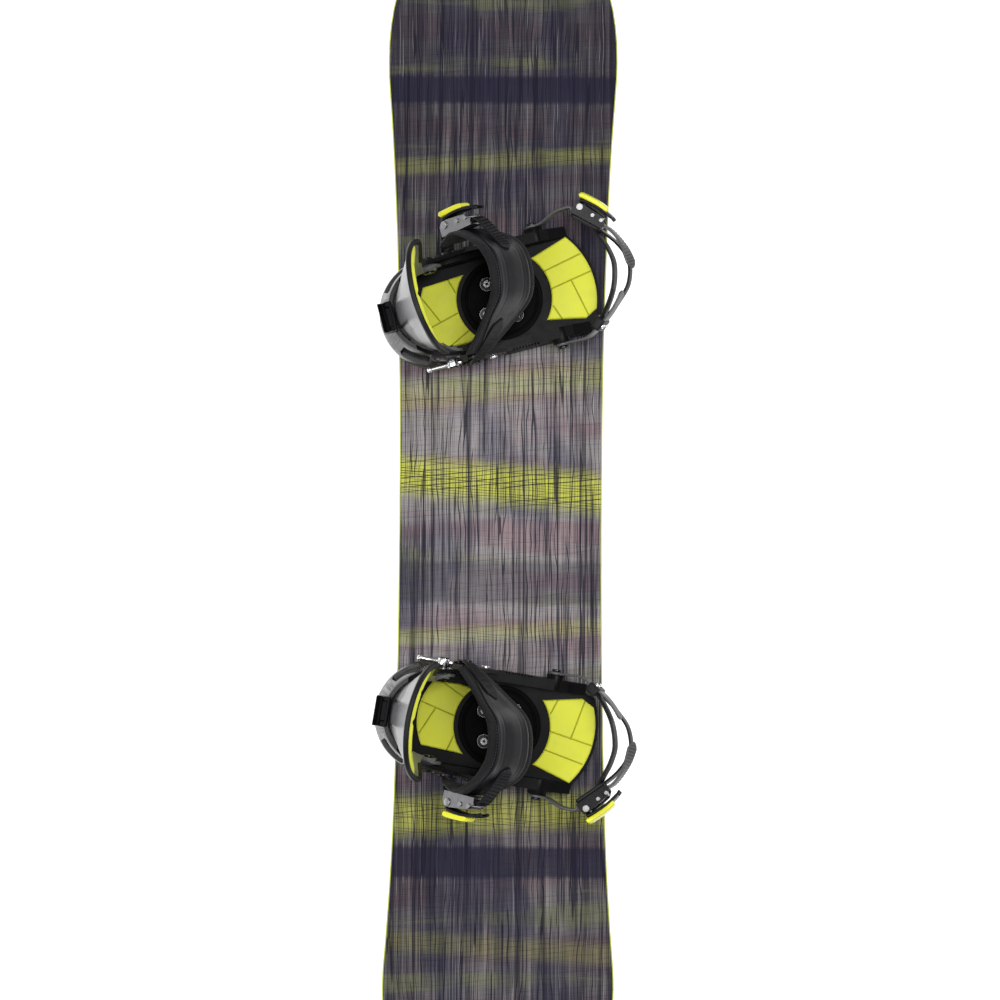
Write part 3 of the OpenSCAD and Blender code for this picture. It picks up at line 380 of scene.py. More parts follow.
def boltShine(place):  # blackened, apart from one plated bolt on the inner side of each binding
    shine = 0.0
    for side in sides:
        spot = tuple(toBoard(side, fasteners["plated"]))
        r = add(place.tree, "VectorMath", {0: place, 1: spot}, out=1, operation="DISTANCE")
        near = remap(r, fasteners["near"], fasteners["near"] - fasteners["blend"])
        shine = calc("MAXIMUM", near, shine)
    return shine


def fastenerFinish(name, shineOf):
    material, tree, shader = newMaterial(name, Metallic=1.0)
    place = placeOn(tree)
    feed(shader, Base_Color=mixColour(shineOf(place), fasteners["dark"], fasteners["bright"]),
         Roughness=remap(noise(place, fasteners["cloud"]), 0.3, 0.7, *fasteners["rough"]))
    return material


finish["bolts"] = fastenerFinish("bolts", boltShine)
finish["screws"] = fastenerFinish("disc screws", screwShine)

# groove is the colour of the painted shade in the pads' grooves, mixed in by the share after it
foam = {"colour": (0.72, 0.75, 0.035), "deep": (0.66, 0.69, 0.028), "groove": (0.16, 0.17, 0.01), "recessShade": 0.75,
        "rough": (0.54, 0.68), "cloud": 30.0, "pebble": 900.0, "depth": 0.00008}


def foamFinish():  # moulded foam: pebbled skin, clouded colour, darker in the grooves
    material, tree, shader = newMaterial("lime moulded foam", Sheen_Weight=0.08)
    where = placeOn(tree)
    cloud = noise(where, foam["cloud"], 4.0)
    colour = mixColour(remap(cloud, 0.25, 0.55), foam["deep"], foam["colour"])
    recessShade = split(placeOn(tree, "UV"))[0] * foam["recessShade"]
    pebble = add(tree, "TexVoronoi", {"Vector": where, "Scale": foam["pebble"]})
    # the grooves, given by the run, are painted dark as shade
    feed(shader, Base_Color=mixColour(recessShade, colour, foam["groove"]),
         Roughness=remap(cloud, 0.3, 0.7, *foam["rough"]), Normal=bumped(pebble, foam["depth"]))
    return material


finish["foam"] = foamFinish()

webbing = {"colour": (0.006, 0.006, 0.0072), "lift": (0.011, 0.011, 0.013), "threads": 1400.0,
           "rough": (0.5, 0.66), "cloud": 40.0, "depth": 0.00006}


def fabricFinish():  # coated weave: two crossed waves of thread along the piece's run
    material, tree, shader = newMaterial("coated weave", Sheen_Weight=0.05, Specular_IOR_Level=0.15)
    warp, weft = (calc("SINE", run * (webbing["threads"] * math.pi)) for run in split(placeOn(tree, "UV")))
    cloud = noise(placeOn(tree), webbing["cloud"], 4.0)
    feed(shader, Base_Color=mixColour(remap(cloud, 0.3, 0.7), webbing["colour"], webbing["lift"]),
         Roughness=remap(cloud, 0.2, 0.8, *webbing["rough"]), Normal=bumped(warp * weft, webbing["depth"]))
    return material


finish["weave"] = fabricFinish()
finish["panel"] = moulded("embossed strap panel", (0.007, 0.007, 0.0085), 0.34, 320.0, 0.00012,
                          Specular_IOR_Level=0.4)
finish["thread"] = moulded("grey thread", (0.05, 0.05, 0.055), 0.7, 900.0, 0.00003)

# the topsheet's print: dark and pale wood split by lengthwise cracks, lime bands hatched across, dark bands;
# a band is its place along the board, half width, slope if it is lime, and strength
printed = {
    "dark": (0.012, 0.011, 0.02), "pale": (0.3, 0.277, 0.28), "mauve": (0.262, 0.196, 0.21),
    "lime": (0.54, 0.56, 0.06), "olive": (0.17, 0.184, 0.075), "line": (0.009, 0.008, 0.018),
    "night": (0.016, 0.015, 0.033), "blue": (0.125, 0.123, 0.172),
    "fields": {"patch": ((10, 5, 1), 3.0, 0.5), "streak": ((140, 3.4, 1), 4.0, 0.65),
               "fibre": ((600, 9, 1), 2.0, 0.5), "wash": ((2.5, 24, 1), 3.0, 0.5),
               "strip": ((58, 0.4, 1), 2.0, 0.5), "crack": ((66, 0.9, 1), 2.0, 0.6)},
    "tones": [("along", 0.12, 0.5, 1.2, 0.2), ("along", -0.22, -0.42, 1.0, 0.34),
              ("patch", 0.32, 0.62, 0.5, 1.0), ("streak", 0.3, 0.72, 0.25, 2.1),
              ("fibre", 0.3, 0.7, 0.75, 1.2), ("rim", 0.05, 0.125, 1.05, 0.6)],
    "limeBands": [(0.475, 0.014, 0.07, 0.2), (0.175, 0.026, 0.12, 0.3), (0.045, 0.032, -0.09, 1.0),
                  (-0.15, 0.014, 0.06, 0.3), (-0.385, 0.03, 0.04, 0.6), (-0.56, 0.018, -0.06, 0.15)],
    "darkBands": [(0.57, 0.02, 0.85), (-0.085, 0.03, 0.45), (-0.45, 0.022, 0.8)],
    "hatch": [(150, 0.1, 0.1, 0.56), (280, -0.07, 0.12, 0.52)], "hatchWobble": 0.3,
    "fibreLines": [(230, 0.5, 0.09, 0.45, 0.5)],
    "grainLines": [(170, 0.8, 0.11, 0.53, 0.85), (400, 0.5, 0.15, 0.55, 0.6)],
    "crackWide": 0.012, "crackDepth": 0.8, "relief": 0.00003,
}


def scaledPair(u, v, timesU, timesV):  # two values as a vector, each multiplied
    return add(u.tree, "CombineXYZ", {0: u * timesU, 1: v * timesV})


def ruledLines(across, along, count, wobble, thin, share):
    # lines of even width, so many to the metre: each has its own thickness, wanders a little and breaks off
    sway = noise(scaledPair(across, along, 20, 9), 1.0, 2.0)
    place = across * count + sway * (wobble * 4)
    line = calc("FLOOR", place)
    off = abs(calc("FRACT", place) - 0.5)
    own = add(line.tree, "TexWhiteNoise", {"W": line}, noise_dimensions="1D")
    broken = noise(scaledPair(line, along, 3.7, 6), 1.0, 2.0)
    wide = (own + 0.5) * thin
    return remap(off, wide, wide * 0.6) * remap(broken, share - 0.04, share + 0.04, 1.0, 0.0)


def ruledOver(colour, x, y, lines, ink):  # lengthwise lines of one ink over a colour
    for *ruling, depth in lines:
        colour = mixColour(ruledLines(x, y, *ruling) * depth, colour, ink)
    return colour


def woodColour(field):  # pale wood and mauve over dark, with olive and blue patches
    tone = 1.0
    for key, *levels in printed["tones"]:
        tone = remap(field[key], *levels) * tone
    pale = mixColour(remap(field["wash"], 0.45, 0.6), printed["pale"], printed["mauve"])
    blue = mixColour(tone, printed["night"], printed["blue"])
    colour = mixColour(tone, printed["dark"], pale)
    colour = mixColour(remap(field["wash"], 0.45, 0.35, 0.0, 0.4), colour, printed["olive"])
    return mixColour(remap(field["patch"], 0.52, 0.4, 0.0, 0.6), colour, blue)


def limeShare(x, y, streak):  # how far a place lies inside the ragged lime bands
    near = 0.0
    for where, half, slope, strength in printed["limeBands"]:
        ragged = abs(y - x * slope - where) + streak * (half * 0.9)
        near = calc("MAXIMUM", remap(ragged, half * 0.75, half * 1.6, strength, 0.0), near)
    return near


def printFinish():
    material, tree, shader = newMaterial("wood grain print", Roughness=0.48, Specular_IOR_Level=0.05)
    x, y = split(placeOn(tree))
    field = {key: noise(stretched(tree, scale), 1.0, detail, rough)
             for key, (scale, detail, rough) in printed["fields"].items()}
    field.update(along=y, rim=abs(x))
    streak = field["streak"]
    near = limeShare(x, y, streak)
    brush = near * remap(streak, 0.35, 0.6, 0.45, 0.95)
    colour = mixColour(brush, woodColour(field), printed["lime"])
    for count, slope, thin, share in printed["hatch"]:
        lines = ruledLines(y - x * slope, x, count, printed["hatchWobble"], thin, share)
        colour = mixColour(lines * (near * 0.7 + 0.2), colour, printed["line"])
    colour = ruledOver(colour, x, y, printed["fibreLines"], printed["pale"])
    for where, half, strength in printed["darkBands"]:
        ragged = abs(y - where) + streak * (half * 0.5)
        colour = mixColour(remap(ragged, half, half * 1.35, strength, 0.0), colour, printed["night"])
    colour = mixColour(remap(field["strip"], 0.63, 0.645, 0.0, 0.6), colour, printed["line"])
    off = abs(field["crack"] - 0.5)  # a crack runs where the noise is halfway
    crack = remap(off, printed["crackWide"], printed["crackWide"] * 0.6) * printed["crackDepth"]
    colour = mixColour(crack, colour, printed["line"])
    feed(shader, Base_Color=ruledOver(colour, x, y, printed["grainLines"], printed["line"]),
         Normal=bumped(field["fibre"], printed["relief"]))
    return material


finish["print"] = printFinish()
print("materials made:", len(finish))

# nodes kept from the CAD: finish and bevel width in mm, welded and bevelled so that their edges catch light
cadFinish = {
    "topsheet": ("print", 0), "upper_laminate": ("laminate", 0), "wood_core": ("core", 0),
    "lower_laminate": ("laminate", 0), "running_base": ("base", 0), "steel_edge": ("steel", 0),
    "sidewalls": ("sidewall", 0), "tip_spacers": ("sidewall", 0), "inserts": ("steel", 0),
    "baseplate": ("nylon", 0.9), "disc": ("disc", 0.5), "disc_screws": ("screws", 0.25),
    "heel_hoop": ("gloss", 1.2), "chassis_bolts": ("bolts", 0.4), "highback_pivots": ("bolts", 0.4),
    "lean_block": ("nylon", 1.0), "clamp_lever": ("chrome", 0.3), "ankle_buckle_frame": ("frame", 0.35),
    "ankle_buckle_pins": ("rivet", 0.3), "ankle_pawl": ("nylon", 0.3),
    "toe_buckle_frame": ("blackFrame", 0.3), "toe_buckle_pins": ("rivet", 0.3), "toe_pawl": ("nylon", 0.3),
}
bevel = {"weld": 0.00001, "flat": math.radians(0.3), "sharp": math.radians(33), "segments": 2}


def dress(node, material, width):
    node.data.materials.clear()
    node.data.materials.append(material)
    if width:
        weld = node.modifiers.new("weld", "WELD")
        weld.merge_threshold = bevel["weld"]
        flat = node.modifiers.new("flat", "DECIMATE")
        flat.decimate_type = "DISSOLVE"
        flat.angle_limit = bevel["flat"]
        edge = node.modifiers.new("edge", "BEVEL")
        edge.width = width * mm
        edge.segments = bevel["segments"]
        edge.limit_method = "ANGLE"
        edge.angle_limit = bevel["sharp"]
        edge.harden_normals = False
        edge.use_clamp_overlap = True


for name, obj in nodes.items():
    key = name.split("_", 1)[1] if name.split("_")[0] in sides else name
    if key in cadFinish:
        dress(obj, finish[cadFinish[key][0]], cadFinish[key][1])
print("CAD nodes dressed")

# footbed pads: a patch between four edge curves, rounded at its rim and grooved
pads = {"low": 14 * mm, "top": 22 * mm, "round": 3.2 * mm, "crown": 0.7 * mm, "crownReach": 30 * mm,
        "groove": 0.75 * mm, "depth": 1.5 * mm, "grid": 190}
padShapes = {
    "toe_pad": {
        "inner": ((0, 0), 65.6, (50, -42.5), (50.4, 41.94)),
        "outer": ((20, -7), 104, (117.6, -43.9), (101.2, 58)),
        "low": [(50, -42.5), (101, -53), (117.6, -43.9)],
        "high": [(50.4, 41.94), (101.2, 58)],
        "grooves": [((56, 19), (114, 31)), ((62, -5), (126, 6)), ((94, 1), (106, -56)),
                    ((63, -27), (71, -50))],
    },
    "heel_pad": {
        "inner": ((0, 0), 59.6, (-41.7, -42.5), (-41, 43.4)),
        "outer": ((-30, 0), 78, (-93.6, -45.1), (-96.8, 40.2)),
        "low": [(-41.7, -42.5), (-58, -46), (-93.6, -45.1)],
        "high": [(-41, 43.4), (-96.8, 40.2)],
        "grooves": [((-64, 46), (-57, 22)), ((-102, 26), (-86, -10)), ((-110, -17), (-56, -3)),
                    ((-88, -48), (-48, -28))],
    },
}


def arcEdge(centre, radius, first, last, t):  # points on a circle between two of its points, the short way
    a, b = (math.atan2(p[1] - centre[1], p[0] - centre[0]) for p in (first, last))
    b = a + (b - a + math.pi) % (2 * math.pi) - math.pi
    angle = a + (b - a) * t
    return np.stack([centre[0] + radius * np.cos(angle), centre[1] + radius * np.sin(angle)], -1)


def lineEdge(corners, t):  # points along straight runs between corners, by length
    p = np.array(corners, float)
    run = lengths(p)
    return sampled(p, run, t * run[-1])


def footPad(shape):
    # Coons patch: blend of the edges both ways, less the blend of the corners; height falls in a quarter
    # round near the rim and dips by a bell curve at each groove
    t = np.linspace(0, 1, pads["grid"])
    left, right = arcEdge(*shape["inner"], t), arcEdge(*shape["outer"], t)
    low, high = lineEdge(shape["low"], t), lineEdge(shape["high"], t)
    u, v = t[:, None, None], t[None, :, None]
    edges = (1 - u) * left[None] + u * right[None] + (1 - v) * low[:, None] + v * high[:, None]
    corners = (1 - u) * ((1 - v) * low[0] + v * high[0]) + u * ((1 - v) * low[-1] + v * high[-1])
    plan = (edges - corners) * mm
    long = np.linalg.norm(plan[-1:] - plan[:1], axis=-1)
    tall = np.linalg.norm(plan[:, -1:] - plan[:, :1], axis=-1)
    rim = np.minimum(np.minimum(u, 1 - u)[..., 0] * long, np.minimum(v, 1 - v)[..., 0] * tall)
    inside = np.clip(rim / pads["round"], 0, 1)
    height = pads["top"] - pads["round"] * (1 - np.sqrt(1 - (1 - inside) ** 2))
    height -= pads["crown"] * (1 - ease(rim, 0, pads["crownReach"]))
    recessShade = np.zeros_like(height)
    for a, b in shape["grooves"]:
        a, b = np.array(a) * mm, np.array(b) * mm
        along = np.clip(((plan - a) @ (b - a)) / ((b - a) @ (b - a)), 0, 1)
        away = np.linalg.norm(plan - a - along[..., None] * (b - a), axis=-1)
        recessShade = np.maximum(recessShade, bump(away, 0, pads["groove"]))
    height -= pads["depth"] * recessShade
    top = np.concatenate([plan, height[..., None]], -1)
    floor = np.concatenate([plan, np.full_like(height, pads["low"])[..., None]], -1)
    # the groove mask also goes out as the run, which paints shade in the grooves
    return twoSkins(top, floor), runOf(recessShade, 2 * recessShade.size)


for side in sides:
    for name, shape in padShapes.items():
        skin, uv = footPad(shape)
        pad = bindingPiece(side, name + "_foam", *skin, finish["foam"], "binding", sharp=50, uv=uv)
        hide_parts(f"{side}_{name}")
print("footbed pads made")

# highback: a round back that opens and leans forward towards its top
back = {
    "hoopTop": 98, "top": 250, "seat": -140.7, "lean": 28, "half": 84, "earOuter": 59.7, "hoopInner": 67,
    "hoopLean": 14, "hoopBend": 48, "pivot": (-84, 60), "shell": 4.5, "gap": 0.3, "pad": 8, "padEdge": 1.5,
    "wrap": 84, "wrapLoss": 26, "deep": 30, "deepLow": 18, "waist": 27, "waistDrop": 10, "waistWide": 32,
    "low": 86, "lowDip": 30, "wingDrop": 62, "wingPower": 2.6, "ear": 11, "earThick": 8.5, "earHole": 4.05,
    "rim": 7.5, "rimLow": 122, "rimSet": 1.5, "rimProud": 1.2, "rimOver": 2.2, "rimEnd": 8,
    "panelWide": (0.15, 0.74), "panelHigh": (0.1, 0.5), "panelDeep": 0.8, "flute": 1.1, "step": 0.9,
}


def partUp(z):
    return np.maximum(0, (z - back["hoopTop"]) / (back["top"] - back["hoopTop"]))


def backHalf(z):  # follows the hoop's inside up to its top, then widens
    bend = np.clip((z - back["hoopBend"]) / (back["hoopTop"] - back["hoopBend"]), 0, 1)
    wall = back["hoopInner"] - back["hoopLean"] * bend
    low = np.minimum(back["earOuter"] - back["gap"], wall - 5 * back["gap"])
    return low + (back["half"] - low) * partUp(z) ** 0.8


def backPoint(f, z, inset):  # f from -1 to 1 round the back, z up, inset from the outer face
    full = np.radians(back["wrap"] - back["wrapLoss"] * partUp(z))
    waist = back["waist"] * bump(z, back["pivot"][1] - back["waistDrop"], back["waistWide"])
    deep = back["deep"] + back["deepLow"] * (1 - partUp(z)) + waist
    curve = (1 - np.cos(f * full)) / (1 - np.cos(full))
    x = back["seat"] + back["lean"] * partUp(z) + inset + (deep - inset) * curve
    return np.stack([x, (backHalf(z) - inset) * np.sin(f * full) / np.sin(full), z], -1) * mm


def backLow(f):
    return back["low"] - back["lowDip"] * f ** 2


def backHigh(f):
    return back["top"] - back["wingDrop"] * np.abs(f) ** back["wingPower"]


def backGrid(reach, low, high, inset, rows, cols):  # points, and each one's f and part of the height
    f = np.linspace(-reach, reach, rows)[:, None]
    v = np.linspace(low, high, cols)[None]
    z = backLow(f) + v * (backHigh(f) - backLow(f))
    return backPoint(f + 0 * z, z, inset), f + 0 * z, v + 0 * z


def highbackShell():  # outer face has two flutes, two sunk dark panels and a step below its rim
    rows, cols = 121, 81
    f, v = backGrid(1, 0, 1, 0.0, rows, cols)[1:]
    edge = np.minimum(np.clip((1 - np.abs(f)) / 0.12, 0, 1), np.clip((1 - v) / 0.07, 0, 1))
    flute = bump(np.abs(f), 0.32, 0.06) * within(v, (0.2, 0.95), 0.2)
    # the panels stand in for openings in the shell: painted dark, partly as the black hoop seen through them,
    # partly as painted shade inside
    panel = within(np.abs(f), back["panelWide"], 0.04) * within(v, back["panelHigh"], 0.03)
    form = back["step"] * (1 - ease(edge, 0.3, 0.7)) + back["flute"] * flute + back["panelDeep"] * panel
    outer = backGrid(1, 0, 1, form, rows, cols)[0]
    inner = backGrid(1, 0, 1, back["shell"], rows, cols)[0]
    return twoSkins(outer, inner), panel


def highbackRim():  # rounded bead carried up one wing's edge, over the top and down the other wing
    count, smooth = 241, 9
    top = np.linspace(-1, 1, 181)
    side = np.linspace(back["rimLow"], backHigh(1.0), 41)[:-1]
    f = np.concatenate([-1 + 0 * side, top, 1 + 0 * side])
    z = np.concatenate([side, backHigh(top), side[::-1]]) - back["rimSet"]
    run = lengths(backPoint(f, z, back["shell"] / 2))
    at = np.linspace(0, run[-1], count)
    f, z = (np.pad(np.interp(at, run, k), smooth // 2, mode="edge") for k in (f, z))
    f, z = (np.convolve(k, np.ones(smooth) / smooth, mode="valid") for k in (f, z))
    line = backPoint(f, z, back["shell"] / 2)
    inward = unit(backPoint(f, z, back["shell"]) - backPoint(f, z, 0.0))
    upward = unit(np.cross(unit(np.gradient(line, axis=0)), inward))
    upward *= np.sign(upward[count // 2, 2])
    rx, ry = roundBox(20, 0.6)
    taper = rounded(np.minimum(at, at[-1] - at), back["rimEnd"] * mm, 0.15)[:, None]
    across = rx * (back["shell"] / 2 + back["rimProud"]) * mm * taper
    up = ((ry - 1) * back["rim"] / 2 + back["rimOver"]) * mm * taper
    return ringSkin(line[:, None] + across[..., None] * inward[:, None] + up[..., None] * upward[:, None])


def highbackPad():  # crowned foam with a centre channel, side channels and drawn-in rim
    rows, cols = 141, 101
    u, v = np.linspace(-1, 1, rows)[:, None], np.linspace(-1, 1, cols)[None]
    swell = (np.maximum(0, (1 - np.abs(u) ** 6) * (1 - np.abs(v) ** 6))) ** 0.4
    channel = 1 - 0.35 * bump(u, 0, 0.05) - 0.2 * bump(np.abs(u), 0.55, 0.035)
    behind = back["shell"] + back["gap"]
    inset = behind + back["padEdge"] + (back["pad"] - back["padEdge"]) * swell * channel
    outer, inner = (backGrid(0.82, 0.3, 0.97, depth, rows, cols)[0] for depth in (behind, inset))
    return twoSkins(outer, inner)


def ears():  # thick round boss on the inside of each wing, with a hole for its pivot
    inner = back["earOuter"] - back["earThick"]
    points, faces = boss(back["pivot"], inner, back["earOuter"], back["ear"], back["earHole"], 48)
    other = points * np.array([1, -1, 1])
    return joined([(points * mm, faces), (other * mm, [face[::-1] for face in faces])])


for side in sides:
    skin, panel = highbackShell()
    points, faces = joined([skin, ears()])
    # the panels' mask goes out as the run that paints them dark
    uv = runOf(panel, len(points))
    shell = bindingPiece(side, "highback_shell", points, faces, finish["shell"], "highback", sharp=50, uv=uv)
    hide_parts(f"{side}_highback")
    rim = bindingPiece(side, "highback_rim", *highbackRim(), finish["rim"], "highback")
    pad = bindingPiece(side, "highback_foam", *highbackPad(), finish["foam"], "highback")
    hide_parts(f"{side}_highback_pad")
print("highbacks made")

# ankle strap: one path from the outer bolt over the foot to the inner bolt
ankle = {"bolt": (-54, 52), "face": 72.3, "high": 121, "half": 35.5, "thick": 11, "tilt": 40, "steps": 24,
         "dome": 0.16, "seam": 0.13, "seamAt": 0.74, "panel": 0.7,
         "panelSpan": (3.9, 10.5)}
ladder = {"thick": 3.5, "half": 9, "pitch": 5, "tooth": 1.2, "rise": 0.72, "eye": 9.5, "hole": 3.05}
ax, az = ankle["bolt"]
top = ankle["high"]
strapMid = ankle["face"] + ladder["thick"] / 2
anklePoints = [
    (ax, strapMid, az), (ax + 5, strapMid, az + 7), (ax + 10, strapMid + 1, az + 14), (-39, 78, 77),
    (-24, 81, 93), (0, 62, top - 11), (12, 39, top - 2), (13, 14, top), (6, -10, top - 3),
    (-13, -33, top - 12), (-34, -53, 97), (-50, -67, 80), (ax - 2, -strapMid, az + 18),
    (ax - 1, -strapMid, az + 9), (ax, -strapMid, az)]
anklePath = smoothPath(anklePoints, ankle["steps"])
padSpan = (2.5, 11.0)  # in path points


def padFull(u):
    return ankle["thick"] * (0.5 + 0.5 * ease(u, 0.22, 0.42) * (1 - ease(u, 0.62, 0.8)))


def padCrown(x):  # share of the height left at a place across the pad: domed, with a seam near each edge
    return 1 - ankle["dome"] * x ** 2 - ankle["seam"] * bump(np.abs(x), ankle["seamAt"], 0.05)


def padHalf(u):
    return ankle["half"] * (0.62 + 0.38 * ease(u, 0, 0.4)) * (1 - 0.4 * ease(u, 0.6, 1))


def strapRun(first, last, count):  # stretch of the path between two of its points, and its place on the pad
    at = np.linspace(first, last, count)
    path = sampled(anklePath, np.arange(len(anklePath)), at * ankle["steps"])
    return path, (at - padSpan[0]) / (padSpan[1] - padSpan[0])


def anklePad():  # rounded cushion: crowned outside, bead along both edges, drawn in at its ends
    path, u = strapRun(*padSpan, 181)
    rx, ry = roundBox(64, 0.5)
    end = np.clip(np.minimum(u, 1 - u) / 0.035, 0, 1)
    end = np.sqrt(np.maximum(0.02, 1 - (1 - end) ** 2))[:, None]
    x = rx * (0.97 + 0.03 * end)
    top = np.clip(ry, 0, 1)
    crown = padCrown(x) + 0.04 * bump(np.abs(x), 0.87, 0.08)
    height = (0.5 + 0.5 * ry * (1 - top * (1 - crown))) * (0.35 + 0.65 * end)
    points = sweep(path, ankle["tilt"], x * padHalf(u)[:, None], height * padFull(u)[:, None])
    around = np.linspace(0, 0.14, rx.size)
    uv = np.stack(np.broadcast_arrays(lengths(path * mm)[:, None], around[None]), -1).reshape(-1, 2)
    return ringSkin(points * mm), uv


def anklePanel():  # leaf of coated fabric on the pad: narrows to a tip at both ends, with a raised border
    path, u = strapRun(*ankle["panelSpan"], 161)
    s = np.linspace(0, 1, len(path))
    leaf = np.sqrt(np.clip(1 - np.abs(2 * s - 1) ** 3.2, 0.004, 1))[:, None]
    v = np.linspace(-1, 1, 49)[None]
    border = 0.9 * bump(np.abs(v), 0.9, 0.09) + 0.5 * bump(v, 0, 0.3) - 0.5 * bump(np.abs(v), 0.55, 0.05)
    x = v * ankle["panel"] * leaf
    across = x * padHalf(u)[:, None]
    rest = padFull(u)[:, None] * (0.5 + 0.5 * padCrown(x))
    top = sweep(path, ankle["tilt"], across, rest + (1.1 + 0.6 * border) * leaf ** 0.5)
    under = sweep(path, ankle["tilt"], across, rest - 1.0)
    return twoSkins(top * mm, under * mm)


stitch = {"length": 2.6, "radius": 0.42, "pitch": 4.0, "at": 0.735, "proud": 0.15,
          "span": (3.0, 10.8)}


def stitches(path, normal):  # short rounded threads in a row along a path
    run = lengths(path)
    at = np.arange(stitch["pitch"], run[-1] - stitch["pitch"], stitch["pitch"])
    up = unit(sampled(normal, run, at))
    step = unit(sampled(path, run, at + 0.5) - sampled(path, run, at - 0.5))
    axes = np.stack([step, np.cross(up, step), up], 1)
    a = circle(6)
    k = np.linspace(-1, 1, 5)[:, None]
    fat = stitch["radius"] * np.sqrt(1 - 0.85 * k ** 2)
    rise = -0.4 * stitch["radius"] * k ** 2
    local = np.stack([k * stitch["length"] / 2 + 0 * a, fat * np.cos(a), rise + fat * np.sin(a)], -1)
    return joined([ringSkin(mid + local @ turn) for mid, turn in zip(sampled(path, run, at), axes)])


def ankleStitches():  # a row in the seam near each edge of the pad
    path, u = strapRun(*stitch["span"], 161)
    w, n = frames(path, ankle["tilt"])
    crown = 1 - ankle["dome"] * stitch["at"] ** 2 - ankle["seam"]
    lift = padFull(u) * (0.5 + 0.5 * crown) + stitch["proud"]
    out = (stitch["at"] * padHalf(u))[:, None] * w
    points, faces = joined([stitches(path + side * out + lift[:, None] * n, n) for side in (-1, 1)])
    return points * mm, faces


def ladderStrap(points, tilts, size, first, count):
    # flat strap whose outer face rises in a leaning saw tooth along its run, over the middle of its width;
    # teeth start at a first distance; also gives how deep in a valley each point lies
    path = smoothPath(points, 16)
    total = lengths(path)[-1]
    path = evenPath(path, count)
    run = lengths(path)
    phase = (run / (ladder["pitch"] * size)) % 1
    rise = ladder["rise"]
    tooth = np.where(phase < rise, phase / rise, (1 - phase) / (1 - rise))
    toothed = ease(run, first, first + 4) * (1 - ease(run, total - 6, total - 3))
    rx, ry = roundBox(28, 0.4)
    half = ladder["half"] * size * rounded(total - run, 9, 0.02)
    outer = np.clip(ry, 0, 1) * (np.abs(rx) < 0.86)
    flat = (ry * 0.5 + 0.5) * ladder["thick"] * size
    up = flat + outer * (ladder["tooth"] * size * tooth * toothed)[:, None]
    # how deep in a valley each point lies goes out as the run that paints shade in the valleys
    valley = (outer > 0.5) * (toothed * np.clip(1 - 1.6 * tooth, 0, 1))[:, None]
    tilt = tilts[0] + (tilts[1] - tilts[0]) * ease(run, 5, 25)
    tilt = tilt + (tilts[2] - tilts[1]) * ease(run / total, 0.72, 0.95)
    return ringSkin(sweep(path, tilt, rx * half[:, None], up) * mm), valley


# the valleys carried as the run are painted dark as shade by the strap plastics
def withEye(skin, valley, eyePart):  # a ladder strap and its eye as one, with the strap's valleys as its run
    points, faces = joined([skin, eyePart])
    return points, faces, runOf(valley, len(points))


def eye(bolt, face):  # flat round end of a strap on its bolt, from a face outward
    far = face + ladder["thick"] * np.sign(face)
    points, faces = boss(bolt, face, far, ladder["eye"], ladder["hole"], 48)
    return points * mm, outward(points.reshape(-1, 3), faces)


# the buckles' own axes: along the strap, across it, away from it; cadPath has the solids' own steps
toe = {"bolt": (62, 26), "face": 78.3, "tilt": 66, "size": 0.86, "band": 4.5, "half": 7, "thick": 3.5,
       "tail": 2.5, "ridge": 0.5, "plate": (44, 22),
       "seat": np.array([131.0, 65, 62]), "root": np.array([114.0, -68, 52])}
buckle = {"step": 15, "gap": 0.3, "ladderLow": 2.3}
cadSteps = 4
cadPath = smoothPath(anklePoints, cadSteps)


def padAxes(step):
    return axesFor(unit(cadPath[step + 1] - cadPath[step - 1]), ankle["tilt"])


def overPad(step, extra):  # a place so far above the ankle pad's outer face
    u = np.array((step / cadSteps - padSpan[0]) / (padSpan[1] - padSpan[0]))
    return cadPath[step] + padAxes(step)[2] * (padFull(u) + extra)


ankleAxes = ankleT, ankleW, ankleN = padAxes(buckle["step"])
toeAxes = axesFor(unit(np.array([0.72, -0.69, 0.03])), toe["tilt"])
toeT, toeN = toeAxes[0], toeAxes[2]
rootAxes = rootT, rootW, rootN = axesFor(unit(np.array([0.72, 0.6, 0.36])), toe["tilt"])
buckles = {"ankle": {"at": overPad(buckle["step"], buckle["gap"]), "axes": ankleAxes, "size": 1.0},
           "toe": {"at": toe["seat"], "axes": toeAxes, "size": toe["size"]}}
ankleEnter = buckles["ankle"]["at"] + ankleN * buckle["ladderLow"]
toeEnter = toe["seat"] + toeN * buckle["ladderLow"] * toe["size"]
toeX, toeZ = toe["bolt"]
toeY = toe["face"]
ankleLadder = {
    "points": [(ax, ankle["face"], az), (ax + 0.5, ankle["face"], az + 7),
               ankleEnter - 34 * ankleT - 11 * ankleN + 1.5 * ankleW, ankleEnter - 29 * ankleT,
               ankleEnter - 20 * ankleT, ankleEnter, ankleEnter + 26 * ankleT, ankleEnter + 34 * ankleT,
               overPad(21, 3), overPad(24, 1.2)],
    "tilts": (0, ankle["tilt"], ankle["tilt"]), "size": 1.0, "first": 16, "count": 321,
}
toeLadder = {
    "points": [(toeX, toeY, toeZ), (71, toeY, 30), (81, toeY + 2, 37), (96, toeY + 7, 52),
               toeEnter - 27 * toeT, toeEnter - 22 * toeT, toeEnter, toeEnter + 22 * toeT,
               toeEnter + 32 * toeT, (162, 33, 63), (168, 16, 62), (171, -2, 61), (171, -11, 61)],
    "tilts": (toe["tilt"], toe["tilt"], 38), "size": toe["size"], "first": 22, "count": 421,
}


